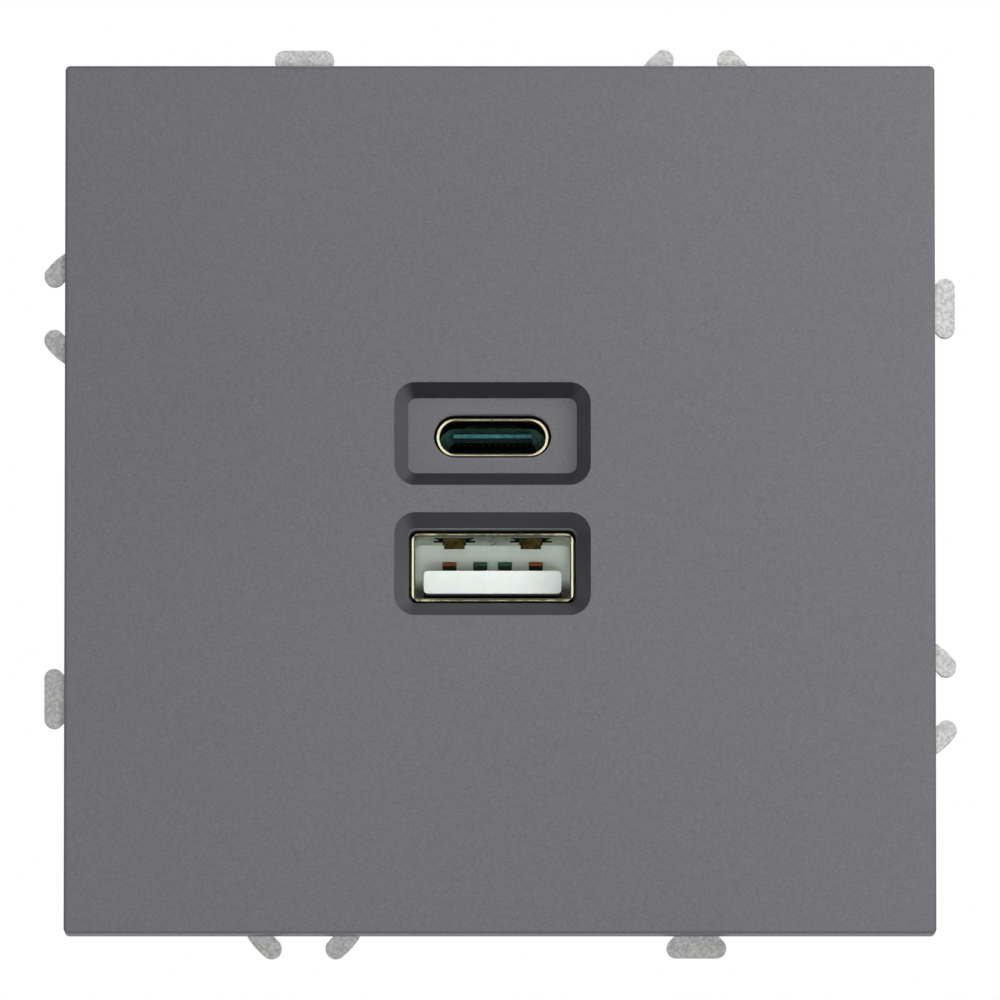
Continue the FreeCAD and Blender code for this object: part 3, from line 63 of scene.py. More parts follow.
def newMaterial(name):
    material = bpy.data.materials.new(name)
    material.use_nodes = True
    tree = material.node_tree
    tree.nodes.clear()
    place = addNode(tree, "ShaderNodeTexCoord").outputs["Object"]  # in metres, whatever the pose
    return material, tree, place


def perMm(size):
    return 1 / (size * mm)  # a texture scale that repeats every so many millimetres


def distanceFrom(tree, value, centre):
    away = addNode(tree, "ShaderNodeMath", {0: value, 1: centre}, operation="SUBTRACT")
    return addNode(tree, "ShaderNodeMath", {0: away}, operation="ABSOLUTE")


# Cover: ABS, moulded and sprayed with a satin grey metallic paint. The sloped bands of the two bezels are a
# painted shade, darker than the flat front and darkest round the upper port, with painted light from the upper
# right on the bands that look up or face right. Real flakes are too fine to show in the render, so they are
# drawn coarser

coverLook = {
    "front": "#6A696E",
    "frontDark": "#636267",
    "frontLight": "#717075",
    # The band shades that follow are painted shade, and the gain for bands that look up is painted light
    "upperSlopePaintedShade": "#313134",  # bands of the upper bezel
    "lowerSlopePaintedShade": "#48484C",  # bands of the lower bezel
    "rightSlopePaintedShade": "#464649",
    "leftSlopePaintedShade": "#59595D",
    "bottomPaintedLightGain": 1.25,  # a band that looks up is so much lighter
    "upFacing": 0.5,  # and looks up so far
    # A painted highlight on the thin edges of the two windows
    "windowEdgePaintedHighlight": "#B5B3BC",
    "bezelReachMm": 12.0,  # from the middle of the cover, past both bezels
    "slopeFacing": [0.93, 0.72],  # from the flat front to a full slope
    "wallFacing": [0.1, 0.3],  # from a wall to a slope
    "cornerFacing": [0.15, 0.6],  # from the upper and lower bands to those at the sides
    "sideBlend": 0.1,
    "flakeMm": 0.16,
    "flakeSpread": [0.3, 0.5, 0.7],  # where the three shades stand on the noise
    "cloudMm": 40.0,
    "cloudSpread": [0.3, 0.7],
    "cloudTone": [0.97, 1.03],
    "roughness": 0.5,
    "shine": 0.2,
    "bumpStrength": 0.25,
    "bumpMm": 0.004,
}


# Facing is how far a face looks to the front: 1 is flat on, 0 is a wall
def makeCoverPaint(look):
    material, tree, place = newMaterial("sprayedAbs")
    flakeShades = (look["frontDark"], look["front"], look["frontLight"])
    grain = addNode(tree, "ShaderNodeTexNoise",
                    {"Vector": place, "Scale": perMm(look["flakeMm"]), "Detail": 3.0, "Roughness": 0.6})
    flakes = addNode(tree, "ShaderNodeValToRGB", {0: grain}, zip(look["flakeSpread"], flakeShades))
    cloud = addNode(tree, "ShaderNodeTexNoise",
                    {"Vector": place, "Scale": perMm(look["cloudMm"]), "Detail": 1.0})
    cloudLow, cloudHigh = look["cloudSpread"]
    toneLow, toneHigh = look["cloudTone"]
    tone = addNode(tree, "ShaderNodeMapRange",
                   {0: cloud, 1: cloudLow, 2: cloudHigh, 3: toneLow, 4: toneHigh})
    front = addNode(tree, "ShaderNodeVectorMath", {0: flakes, "Scale": tone}, operation="SCALE")

    normal = addNode(tree, "ShaderNodeTexCoord").outputs["Normal"]
    right, away, up = addNode(tree, "ShaderNodeSeparateXYZ", {0: normal}).outputs
    facing = addNode(tree, "ShaderNodeMath", {0: away, 1: -1.0}, operation="MULTIPLY")
    spot = addNode(tree, "ShaderNodeSeparateXYZ", {0: place}).outputs
    reach = look["bezelReachMm"] * mm
    nearX = addNode(tree, "ShaderNodeMath", {0: spot["X"], 1: 0.0, 2: reach}, operation="COMPARE")
    nearZ = addNode(tree, "ShaderNodeMath", {0: spot["Z"], 1: 0.0, 2: reach}, operation="COMPARE")
    near = addNode(tree, "ShaderNodeMath", {0: nearX, 1: nearZ}, operation="MULTIPLY")

    # Sloped bands, a painted shade: one shade for each bezel, with painted light where a band looks up,
    # and a shade for each side, lighter on the band that faces right
    flat, steep = look["slopeFacing"]
    wallEnd, slopeStart = look["wallFacing"]
    tilted = addNode(tree, "ShaderNodeMapRange", {0: facing, 1: flat, 2: steep})
    notWall = addNode(tree, "ShaderNodeMapRange", {0: facing, 1: wallEnd, 2: slopeStart})
    sloped = addNode(tree, "ShaderNodeMath", {0: tilted, 1: notWall}, operation="MULTIPLY")
    slope = addNode(tree, "ShaderNodeMath", {0: sloped, 1: near}, operation="MULTIPLY")
    lower = addNode(tree, "ShaderNodeMath", {0: spot["Z"], 1: 0.0}, operation="LESS_THAN")
    bezel = addNode(tree, "ShaderNodeMix", {0: lower, 6: look["upperSlopePaintedShade"], 7: look["lowerSlopePaintedShade"]},
                    data_type="RGBA").outputs[2]
    upPaintedLightGain = addNode(tree, "ShaderNodeMapRange",
                   {0: up, 1: 0.0, 2: look["upFacing"], 3: 1.0, 4: look["bottomPaintedLightGain"]})
    upAndDown = addNode(tree, "ShaderNodeVectorMath", {0: bezel, "Scale": upPaintedLightGain}, operation="SCALE")
    onLeft = addNode(tree, "ShaderNodeMapRange", {0: right, 1: -look["sideBlend"], 2: look["sideBlend"]})
    sides = addNode(tree, "ShaderNodeMix", {0: onLeft, 6: look["rightSlopePaintedShade"], 7: look["leftSlopePaintedShade"]},
                    data_type="RGBA").outputs[2]
    sideways = addNode(tree, "ShaderNodeMath", {0: right}, operation="ABSOLUTE")
    turnStart, turnEnd = look["cornerFacing"]
    turned = addNode(tree, "ShaderNodeMapRange", {0: sideways, 1: turnStart, 2: turnEnd})
    bandPaintedShade = addNode(tree, "ShaderNodeMix", {0: turned, 6: upAndDown, 7: sides}, data_type="RGBA").outputs[2]

    # The thin edges of the two windows get a painted highlight, lighter than the front
    wall = addNode(tree, "ShaderNodeMath", {0: facing, 1: wallEnd}, operation="LESS_THAN")
    window = addNode(tree, "ShaderNodeMath", {0: wall, 1: near}, operation="MULTIPLY")
    edged = addNode(tree, "ShaderNodeMix", {0: window, 6: front, 7: look["windowEdgePaintedHighlight"]},
                    data_type="RGBA").outputs[2]
    colour = addNode(tree, "ShaderNodeMix", {0: slope, 6: edged, 7: bandPaintedShade}, data_type="RGBA").outputs[2]
    bump = addNode(tree, "ShaderNodeBump",
                   {"Height": grain, "Strength": look["bumpStrength"], "Distance": look["bumpMm"] * mm})
    shader = addNode(tree, "ShaderNodeBsdfPrincipled",
                     {"Base Color": colour, "Roughness": look["roughness"], "Normal": bump,
                      "Specular IOR Level": look["shine"]})
    addNode(tree, "ShaderNodeOutputMaterial", {0: shader})
    return material


# Frame: cold-rolled steel, punched and zinc plated, then dulled; the plating shows fine pale specks, which
# are drawn coarser than the real ones, so that they show in the render

frameLook = {
    "dark": "#ACACAB",
    "base": "#C6C6C5",
    "light": "#DCDCDA",
    "speckMm": 0.26,
    "speckSpread": [0.36, 0.5, 0.62],
    "metallic": 0.05,
    "roughness": [0.58, 0.74],
    "bumpStrength": 0.4,
    "bumpMm": 0.02,
}


def makePlatedSteel(look):
    material, tree, place = newMaterial("dullZincPlate")
    specks = addNode(tree, "ShaderNodeTexNoise",
                     {"Vector": place, "Scale": perMm(look["speckMm"]), "Detail": 4.0, "Roughness": 0.7})
    shades = (look["dark"], look["base"], look["light"])
    colour = addNode(tree, "ShaderNodeValToRGB", {0: specks}, zip(look["speckSpread"], shades))
    smooth, rough = look["roughness"]
    roughness = addNode(tree, "ShaderNodeMapRange", {0: specks, 3: smooth, 4: rough})
    bump = addNode(tree, "ShaderNodeBump",
                   {"Height": specks, "Strength": look["bumpStrength"], "Distance": look["bumpMm"] * mm})
    shader = addNode(tree, "ShaderNodeBsdfPrincipled",
                     {"Base Color": colour, "Metallic": look["metallic"], "Roughness": roughness,
                      "Normal": bump})
    addNode(tree, "ShaderNodeOutputMaterial", {0: shader})
    return material


# Shells of the ports: stainless sheet, folded round the lower port and drawn for the upper one, and nickel
# plated. A narrow warm line, a painted highlight, runs along the rounded edge of the mouth, wider and
# brighter at the sides, and specked above and below; the rest of the rounded edge is a painted shade.
# Inside, the sheet is painted darker below, a painted shade, and in the upper port the sheet and its fingers
# are painted nearly black, a painted shade. Cut edges inside and the winged cut-outs are painted nearly
# black, the spring fingers of the lower port are heat-tinted brown, and the seam runs along the middle of the
# ceiling

shellLook = {
    "sheet": "#C3CBB8",
    "streak": "#A2AC94",
    "streakMm": 0.5,
    "streakStretch": (1.0, 0.15, 1.0),  # streaks run from front to back
    "streakSpread": [0.35, 0.65],
    "speckSpread": [0.4, 0.6],
    # A painted shade for the lower inside of the shell
    "lowSheetPaintedShade": "#4E4735",
    "fadeMm": [-1.2, -0.2],  # heights from the middle of the port, darker below
    # A painted highlight along the edge of the mouth, and painted shade on the round beside it
    "edge": "#AFA788",
    "edgeRound": "#2C2A20",
    "edgeDepthMm": 0.12,
    # Painted nearly black on the cut edges and winged cut-outs inside
    "cutAndWingBlack": "#15140E",
    "tint": "#8A763E",
    "tintDark": "#5A4C24",
    "fingerAtMm": 3.1,  # to each side of the middle
    "fingerHalfMm": 0.84,
    "fingerStartMm": 2.1,  # behind the mouth
    "wingHalfMm": [1.7, 0.8],  # in front and at the back
    "wingReachMm": [1.5, 6.0],  # behind the mouth
    "seam": "#2E3328",
    "seamMm": 0.09,
    "seamSwingMm": 0.5,
    "seamWaveMm": 0.9,
    "cutFacing": -0.7,  # an edge that looks so far to the front is a cut one
    "metallic": 0.75,
    "roughness": 0.36,
    "mattRoughness": 0.85,
    "shine": 0.5,
    "mattShine": 0.02,
    "bumpStrength": 0.2,
    "bumpMm": 0.01,
}
foldedLook = dict(shellLook, square=True, lineMm=0.1, lineHalfMm=[0.03, 0.07], edgeFlat="#86866A",
                  edgeSpeck="#45452F", edgeSideMm=[0.5, 0.2])
# In the upper port the sheet, its streaks, its lower part and its fingers are painted nearly black, a painted
# shade deep in the narrow mouth
drawnLook = dict(shellLook, square=False, lineMm=0.12, lineHalfMm=[0.033, 0.09], edgeFlat="#9C977C",
                 edgeSpeck="#85806A", edgeSideMm=[1.6, 0.6], sheet="#1C1E17", streak="#0F110C",
                 lowSheetPaintedShade="#0C0D0B", tint="#15140E", tintDark="#15140E")


# How far a point of the mouth lies inside the shell's outline, square or with round ends
def insetFromOutline(tree, acrossX, acrossZ, half, square):
    if square:
        fromSide = addNode(tree, "ShaderNodeMath", {0: half.x, 1: acrossX}, operation="SUBTRACT")
        fromTop = addNode(tree, "ShaderNodeMath", {0: half.z, 1: acrossZ}, operation="SUBTRACT")
        return addNode(tree, "ShaderNodeMath", {0: fromSide, 1: fromTop}, operation="MINIMUM")
    pastEnd = addNode(tree, "ShaderNodeMath", {0: acrossX, 1: half.x - half.z}, operation="SUBTRACT")
    beyond = addNode(tree, "ShaderNodeMath", {0: pastEnd, 1: 0.0}, operation="MAXIMUM")
    arm = addNode(tree, "ShaderNodeCombineXYZ", {0: beyond, 1: acrossZ})
    radius = addNode(tree, "ShaderNodeVectorMath", {0: arm}, operation="LENGTH").outputs["Value"]
    return addNode(tree, "ShaderNodeMath", {0: half.z, 1: radius}, operation="SUBTRACT")


def makeShell(name, look, node):
    material, tree, place = newMaterial(name)
    low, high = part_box(node)
    centre = (low + high) / 2
    half = (high - low) / 2
    x, y, z = addNode(tree, "ShaderNodeSeparateXYZ", {0: place}).outputs
    acrossX = distanceFrom(tree, x, centre.x)
    acrossZ = distanceFrom(tree, z, centre.z)

    # The sheet, streaked along its length and painted darker below, a painted shade
    drawn = addNode(tree, "ShaderNodeMapping", {"Vector": place, "Scale": look["streakStretch"]})
    streaks = addNode(tree, "ShaderNodeTexNoise",
                      {"Vector": drawn, "Scale": perMm(look["streakMm"]), "Detail": 3.0})
    sheet = addNode(tree, "ShaderNodeValToRGB", {0: streaks},
                    zip(look["streakSpread"], (look["streak"], look["sheet"])))
    speckLow, speckHigh = look["speckSpread"]
    specks = addNode(tree, "ShaderNodeMapRange", {0: streaks, 1: speckLow, 2: speckHigh})
    fadeStart, fadeEnd = (centre.z + value * mm for value in look["fadeMm"])
    lit = addNode(tree, "ShaderNodeMapRange", {0: z, 1: fadeStart, 2: fadeEnd})
    colour = addNode(tree, "ShaderNodeMix", {0: lit, 6: look["lowSheetPaintedShade"], 7: sheet},
                     data_type="RGBA").outputs[2]

    # The winged cut-outs, and the spring fingers in them
    fingerAt = look["fingerAtMm"] * mm
    wingStart, wingEnd = (low.y + value * mm for value in look["wingReachMm"])
    wingWide, wingNarrow = (value * mm for value in look["wingHalfMm"])
    wingHalf = addNode(tree, "ShaderNodeMapRange",
                       {0: y, 1: wingStart, 2: wingEnd, 3: wingWide, 4: wingNarrow})
    nearWing = addNode(tree, "ShaderNodeMath", {0: acrossX, 1: fingerAt, 2: wingHalf}, operation="COMPARE")
    pastMouth = addNode(tree, "ShaderNodeMath", {0: y, 1: wingStart}, operation="GREATER_THAN")
    wing = addNode(tree, "ShaderNodeMath", {0: nearWing, 1: pastMouth}, operation="MULTIPLY")
    colour = addNode(tree, "ShaderNodeMix", {0: wing, 6: colour, 7: look["cutAndWingBlack"]},
                     data_type="RGBA").outputs[2]
    fingerHalf = look["fingerHalfMm"] * mm
    nearFinger = addNode(tree, "ShaderNodeMath", {0: acrossX, 1: fingerAt, 2: fingerHalf},
                         operation="COMPARE")
    pastRoot = addNode(tree, "ShaderNodeMath", {0: y, 1: low.y + look["fingerStartMm"] * mm},
                       operation="GREATER_THAN")
    finger = addNode(tree, "ShaderNodeMath", {0: nearFinger, 1: pastRoot}, operation="MULTIPLY")
    tinted = addNode(tree, "ShaderNodeMix", {0: specks, 6: look["tintDark"], 7: look["tint"]},
                     data_type="RGBA").outputs[2]
    colour = addNode(tree, "ShaderNodeMix", {0: finger, 6: colour, 7: tinted}, data_type="RGBA").outputs[2]

    # Cut edges behind the mouth, painted nearly black
    normal = addNode(tree, "ShaderNodeTexCoord").outputs["Normal"]
    away = addNode(tree, "ShaderNodeSeparateXYZ", {0: normal}).outputs["Y"]
    toFront = addNode(tree, "ShaderNodeMath", {0: away, 1: look["cutFacing"]}, operation="LESS_THAN")
    inside = addNode(tree, "ShaderNodeMath", {0: y, 1: low.y + look["edgeDepthMm"] * mm},
                     operation="GREATER_THAN")
    cut = addNode(tree, "ShaderNodeMath", {0: toFront, 1: inside}, operation="MULTIPLY")
    colour = addNode(tree, "ShaderNodeMix", {0: cut, 6: colour, 7: look["cutAndWingBlack"]},
                     data_type="RGBA").outputs[2]
    sprung = addNode(tree, "ShaderNodeMath", {0: wing, 1: finger}, operation="MAXIMUM")
    matt = addNode(tree, "ShaderNodeMath", {0: sprung, 1: cut}, operation="MAXIMUM")

    # The rounded edge of the mouth: a painted highlight line, with painted shade round it
    narrow, wide = (value * mm for value in look["lineHalfMm"])
    sideStart, sideEnd = (half.x - value * mm for value in look["edgeSideMm"])
    inset = insetFromOutline(tree, acrossX, acrossZ, half, look["square"])
    lineHalf = addNode(tree, "ShaderNodeMapRange",
                       {0: acrossX, 1: half.x - half.z, 2: half.x - half.z / 2, 3: narrow, 4: wide})
    paintedHighlightLine = addNode(tree, "ShaderNodeMath", {0: inset, 1: look["lineMm"] * mm, 2: lineHalf},
                   operation="COMPARE")
    side = addNode(tree, "ShaderNodeMapRange", {0: acrossX, 1: sideStart, 2: sideEnd})
    dull = addNode(tree, "ShaderNodeMix", {0: specks, 6: look["edgeSpeck"], 7: look["edgeFlat"]},
                   data_type="RGBA").outputs[2]
    bright = addNode(tree, "ShaderNodeMix", {0: side, 6: dull, 7: look["edge"]},
                     data_type="RGBA").outputs[2]
    paintedRim = addNode(tree, "ShaderNodeMix", {0: paintedHighlightLine, 6: look["edgeRound"], 7: bright},
                  data_type="RGBA").outputs[2]
    colour = addNode(tree, "ShaderNodeMix", {0: inside, 6: paintedRim, 7: colour}, data_type="RGBA").outputs[2]

    # The seam wanders a little
    swing = look["seamSwingMm"] * mm
    wave = addNode(tree, "ShaderNodeTexNoise",
                   {"Vector": place, "Scale": perMm(look["seamWaveMm"]), "Detail": 0.0})
    seamAt = addNode(tree, "ShaderNodeMapRange", {0: wave, 3: centre.x - swing, 4: centre.x + swing})
    nearSeam = addNode(tree, "ShaderNodeMath", {0: x, 1: seamAt, 2: look["seamMm"] * mm},
                       operation="COMPARE")
    upper = addNode(tree, "ShaderNodeMath", {0: z, 1: centre.z}, operation="GREATER_THAN")
    seam = addNode(tree, "ShaderNodeMath", {0: nearSeam, 1: upper}, operation="MULTIPLY")
    colour = addNode(tree, "ShaderNodeMix", {0: seam, 6: colour, 7: look["seam"]},
                     data_type="RGBA").outputs[2]

    bump = addNode(tree, "ShaderNodeBump",
                   {"Height": streaks, "Strength": look["bumpStrength"], "Distance": look["bumpMm"] * mm})
    metallic = addNode(tree, "ShaderNodeMapRange", {0: matt, 3: look["metallic"], 4: 0.0})
    roughness = addNode(tree, "ShaderNodeMapRange",
                        {0: matt, 3: look["roughness"], 4: look["mattRoughness"]})
    shine = addNode(tree, "ShaderNodeMapRange", {0: matt, 3: look["shine"], 4: look["mattShine"]})
    shader = addNode(tree, "ShaderNodeBsdfPrincipled",
                     {"Base Color": colour, "Metallic": metallic, "Roughness": roughness,
                      "Specular IOR Level": shine, "Normal": bump})
    addNode(tree, "ShaderNodeOutputMaterial", {0: shader})
    return material


# Moulded plastics: one recipe, with a small change of shade and a fine spark-eroded texture, which is drawn
# coarser than the real one, so that it shows in the render

plasticLooks = {
    # Glass-filled nylon, moulded in a sparked tool: nearly black and matt
    "caseNylon": {"shades": ["#1D1D1F", "#262628"], "grainMm": 0.3, "roughness": 0.55, "bumpMm": 0.03},
    # Plain nylon, moulded: milky, half matt
    "spacerNylon": {"shades": ["#C9C4B4", "#D8D4C6"], "grainMm": 0.3, "roughness": 0.5, "bumpMm": 0.01},
    # Polyester tape, wound: yellow and smooth
    "windingTape": {"shades": ["#D9A91C", "#E6B92E"], "grainMm": 1.1, "roughness": 0.3, "bumpMm": 0.01},
    # PVC sleeve, shrunk on: black with a tinge of blue, smooth
    "capacitorSleeve": {"shades": ["#101218", "#191C24"], "grainMm": 1.4, "roughness": 0.28, "bumpMm": 0.01},
    # Box cast full of epoxy: amber, fairly smooth
    "capacitorEpoxyBox": {"shades": ["#C98F12", "#D69D20"], "grainMm": 0.5, "roughness": 0.35,
                          "bumpMm": 0.01},
    # Phenolic, moulded: dark reddish brown
    "fusePhenolic": {"shades": ["#3A1A12", "#4A2318"], "grainMm": 0.4, "roughness": 0.4, "bumpMm": 0.01},
    # Filled epoxy, moulded: dark grey and matt
    "chipEpoxy": {"shades": ["#17181A", "#1F2022"], "grainMm": 0.12, "roughness": 0.6, "bumpMm": 0.01},
    # Ferrite, pressed and fired: dark grey and dry, like stoneware
    "ferrite": {"shades": ["#26272A", "#33343A"], "grainMm": 0.2, "roughness": 0.65, "bumpMm": 0.01},
}
plasticMaking = {"cloudMm": 9.0, "cloudSpread": [0.3, 0.7], "roughnessEachWay": 0.06, "bumpStrength": 0.3}


def makePlastic(name, look, making):
    material, tree, place = newMaterial(name)
    grain = addNode(tree, "ShaderNodeTexNoise",
                    {"Vector": place, "Scale": perMm(look["grainMm"]), "Detail": 2.0})
    cloud = addNode(tree, "ShaderNodeTexNoise",
                    {"Vector": place, "Scale": perMm(making["cloudMm"]), "Detail": 2.0})
    colour = addNode(tree, "ShaderNodeValToRGB", {0: cloud}, zip(making["cloudSpread"], look["shades"]))
    roughness = addNode(tree, "ShaderNodeMapRange",
                        {0: grain, 3: look["roughness"] - making["roughnessEachWay"],
                         4: look["roughness"] + making["roughnessEachWay"]})
    bump = addNode(tree, "ShaderNodeBump",
                   {"Height": grain, "Strength": making["bumpStrength"], "Distance": look["bumpMm"] * mm})
    shader = addNode(tree, "ShaderNodeBsdfPrincipled",
                     {"Base Color": colour, "Roughness": roughness, "Normal": bump})
    addNode(tree, "ShaderNodeOutputMaterial", {0: shader})
    return material


# Insulators of the ports: white PBT below, a little translucent, greyer further in, and black LCP above,
# with a teal tinge. The PBT is painted darker below the middle of the port, a painted shade, slight in front
# and deep further in. Above its middle the LCP is painted a lighter teal, partly its own tinge and partly a
# painted highlight, and its base is painted lit further down at its two ends, a painted light

pbtLook = {
    "front": "#F4FAF6",
    # The low shades are painted shade below the middle of the port, slight in front and deep further in
    "frontLow": "#EEF5F0",
    "back": "#E2EFE6",
    "backLow": "#474636",
    "frontMm": [1.0, 3.0],  # from the front's shade to the back's
    "fadeMm": [-1.1, -0.2],  # heights from the middle, darker below
    "endMm": [9.0, 9.2],  # where an end starts, from the middle
    "endDropMm": 0.0,  # an end is lit so much further down
    "grainMm": 0.6,
    "tone": [0.93, 1.05],
    "roughness": 0.38,
    "shine": 0.4,
    "translucency": 0.15,
    "depthMm": 0.5,  # how far light goes in
}
lcpLook = {
    # The teal shades above are partly the LCP's own tinge and partly painted highlight and painted light; the
    # low ones are its own dark colour
    "front": "#3F7675",
    "frontLow": "#0C1B1D",
    "back": "#3C5F58",
    "backLow": "#0A1213",
    "frontMm": [0.15, 0.45],
    "fadeMm": [0.02, 0.1],
    "endMm": [3.4, 3.6],
    "endDropMm": 0.7,
    "grainMm": 0.35,
    "tone": [0.2, 1.8],
    "roughness": 0.6,
    "shine": 0.04,
    "translucency": 0.0,
    "depthMm": 0.5,
}


def makeInsulator(name, look, node):
    material, tree, place = newMaterial(name)
    low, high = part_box(node)
    centre = (low + high) / 2
    x, y, z = addNode(tree, "ShaderNodeSeparateXYZ", {0: place}).outputs
    fadeStart, fadeEnd = (centre.z + value * mm for value in look["fadeMm"])
    endStart, endFull = (value * mm for value in look["endMm"])
    frontEnd, backStart = (low.y + value * mm for value in look["frontMm"])
    # Painted shade below the middle of the port, and painted light further down at the ends
    litFront = addNode(tree, "ShaderNodeMapRange", {0: z, 1: fadeStart, 2: fadeEnd})
    front = addNode(tree, "ShaderNodeMix", {0: litFront, 6: look["frontLow"], 7: look["front"]},
                    data_type="RGBA").outputs[2]
    acrossX = distanceFrom(tree, x, centre.x)
    drop = addNode(tree, "ShaderNodeMapRange",
                   {0: acrossX, 1: endStart, 2: endFull, 3: 0.0, 4: look["endDropMm"] * mm})
    raised = addNode(tree, "ShaderNodeMath", {0: z, 1: drop}, operation="ADD")
    litBack = addNode(tree, "ShaderNodeMapRange", {0: raised, 1: fadeStart, 2: fadeEnd})
    back = addNode(tree, "ShaderNodeMix", {0: litBack, 6: look["backLow"], 7: look["back"]},
                   data_type="RGBA").outputs[2]
    deep = addNode(tree, "ShaderNodeMapRange", {0: y, 1: frontEnd, 2: backStart})
    plain = addNode(tree, "ShaderNodeMix", {0: deep, 6: front, 7: back}, data_type="RGBA").outputs[2]
    toneLow, toneHigh = look["tone"]
    grain = addNode(tree, "ShaderNodeTexNoise",
                    {"Vector": place, "Scale": perMm(look["grainMm"]), "Detail": 3.0})
    tone = addNode(tree, "ShaderNodeMapRange", {0: grain, 3: toneLow, 4: toneHigh})
    colour = addNode(tree, "ShaderNodeVectorMath", {0: plain, "Scale": tone}, operation="SCALE")
    shader = addNode(tree, "ShaderNodeBsdfPrincipled",
                     {"Base Color": colour, "Roughness": look["roughness"],
                      "Specular IOR Level": look["shine"], "Subsurface Weight": look["translucency"],
                      "Subsurface Scale": look["depthMm"] * mm})
    addNode(tree, "ShaderNodeOutputMaterial", {0: shader})
    return material


# Contacts: copper alloy strip; the outer pair shows bare copper and the inner pair is dark green with flux.
# Below the bend that shows in the windows the strips are painted near black, a painted shade

contactLook = {
    "outer": "#F08A30",
    "inner": "#4C8C58",
    # Painted shade for the strips below the bend
    "below": "#15130F",
    "outerFromMm": 2.2,  # from the middle
    "shownMm": 0.34,  # from the highest point down
    "wearMm": 0.5,
    "wearTone": [0.7, 1.2],
    "metallic": 0.2,
    "roughness": 0.35,
}


def makeContactStrip(look):
    material, tree, place = newMaterial("copperAlloyStrip")
    low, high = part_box("usb_a_contacts")
    spot = addNode(tree, "ShaderNodeSeparateXYZ", {0: place}).outputs
    side = distanceFrom(tree, spot["X"], (low.x + high.x) / 2)
    outer = addNode(tree, "ShaderNodeMath", {0: side, 1: look["outerFromMm"] * mm}, operation="GREATER_THAN")
    pair = addNode(tree, "ShaderNodeMix", {0: outer, 6: look["inner"], 7: look["outer"]},
                   data_type="RGBA").outputs[2]
    toneLow, toneHigh = look["wearTone"]
    wear = addNode(tree, "ShaderNodeTexNoise",
                   {"Vector": place, "Scale": perMm(look["wearMm"]), "Detail": 3.0})
    tone = addNode(tree, "ShaderNodeMapRange", {0: wear, 3: toneLow, 4: toneHigh})
    worn = addNode(tree, "ShaderNodeVectorMath", {0: pair, "Scale": tone}, operation="SCALE")
    # Below the shown part the strip is painted near black, a painted shade
    shown = addNode(tree, "ShaderNodeMath", {0: spot["Z"], 1: high.z - look["shownMm"] * mm},
                    operation="GREATER_THAN")
    colour = addNode(tree, "ShaderNodeMix", {0: shown, 6: look["below"], 7: worn},
                     data_type="RGBA").outputs[2]
    shader = addNode(tree, "ShaderNodeBsdfPrincipled",
                     {"Base Color": colour, "Metallic": look["metallic"], "Roughness": look["roughness"]})
    addNode(tree, "ShaderNodeOutputMaterial", {0: shader})
    return material


# Bright metals, with the marks of turning, stamping or rolling, which are drawn coarser than the real ones, so
# that they show in the render

metalLooks = {
    # Brass pins, drawn and gold flashed: warm yellow, fairly bright
    "goldFlashedBrass": {"shades": ["#8A6A30", "#A88444"], "markMm": 0.2, "roughness": 0.34},
    # The same flash on the upper contacts, painted nearly black, a painted shade
    "goldFlashPaintedShade": {"shades": ["#15110A", "#1E190F"], "markMm": 0.2, "roughness": 0.5},
    # Brass sheet, stamped and bent: yellow, with faint marks
    "stampedBrass": {"shades": ["#A98243", "#C9A15C"], "markMm": 0.6, "roughness": 0.36},
    # Steel, turned and zinc plated: bright bluish grey
    "zincPlatedScrewSteel": {"shades": ["#9B9EA3", "#BFC2C6"], "markMm": 0.4, "roughness": 0.34},
    # Steel sheet, bent and zinc plated: a darker, softer grey
    "zincPlatedCageSteel": {"shades": ["#8F9297", "#B2B5B9"], "markMm": 0.8, "roughness": 0.42},
    # Aluminium, drawn and headed: pale grey
    "drawnAluminium": {"shades": ["#B4B6B8", "#D0D2D4"], "markMm": 0.5, "roughness": 0.38},
}
metalMaking = {"markSpread": [0.35, 0.65], "smoother": 0.08, "rougher": 0.1, "bumpStrength": 0.25,
               "bumpMm": 0.01}


def makeMetal(name, look, making):
    material, tree, place = newMaterial(name)
    marks = addNode(tree, "ShaderNodeTexNoise",
                    {"Vector": place, "Scale": perMm(look["markMm"]), "Detail": 4.0, "Roughness": 0.6})
    colour = addNode(tree, "ShaderNodeValToRGB", {0: marks}, zip(making["markSpread"], look["shades"]))
    roughness = addNode(tree, "ShaderNodeMapRange",
                        {0: marks, 3: look["roughness"] - making["smoother"],
                         4: look["roughness"] + making["rougher"]})
    bump = addNode(tree, "ShaderNodeBump",
                   {"Height": marks, "Strength": making["bumpStrength"], "Distance": making["bumpMm"] * mm})
    shader = addNode(tree, "ShaderNodeBsdfPrincipled",
                     {"Base Color": colour, "Metallic": 1.0, "Roughness": roughness, "Normal": bump})
    addNode(tree, "ShaderNodeOutputMaterial", {0: shader})
    return material


# Boards: glass-fibre laminate under green solder resist, with the weave just showing; it is drawn coarser
# than the real one, so that it shows in the render

boardLook = {
    "resist": "#1E5A32",
    "weave": "#2C6B40",
    "weaveMm": 1.58,
    "waver": 0.5,
    "roughness": 0.35,
    "gloss": 0.3,
}


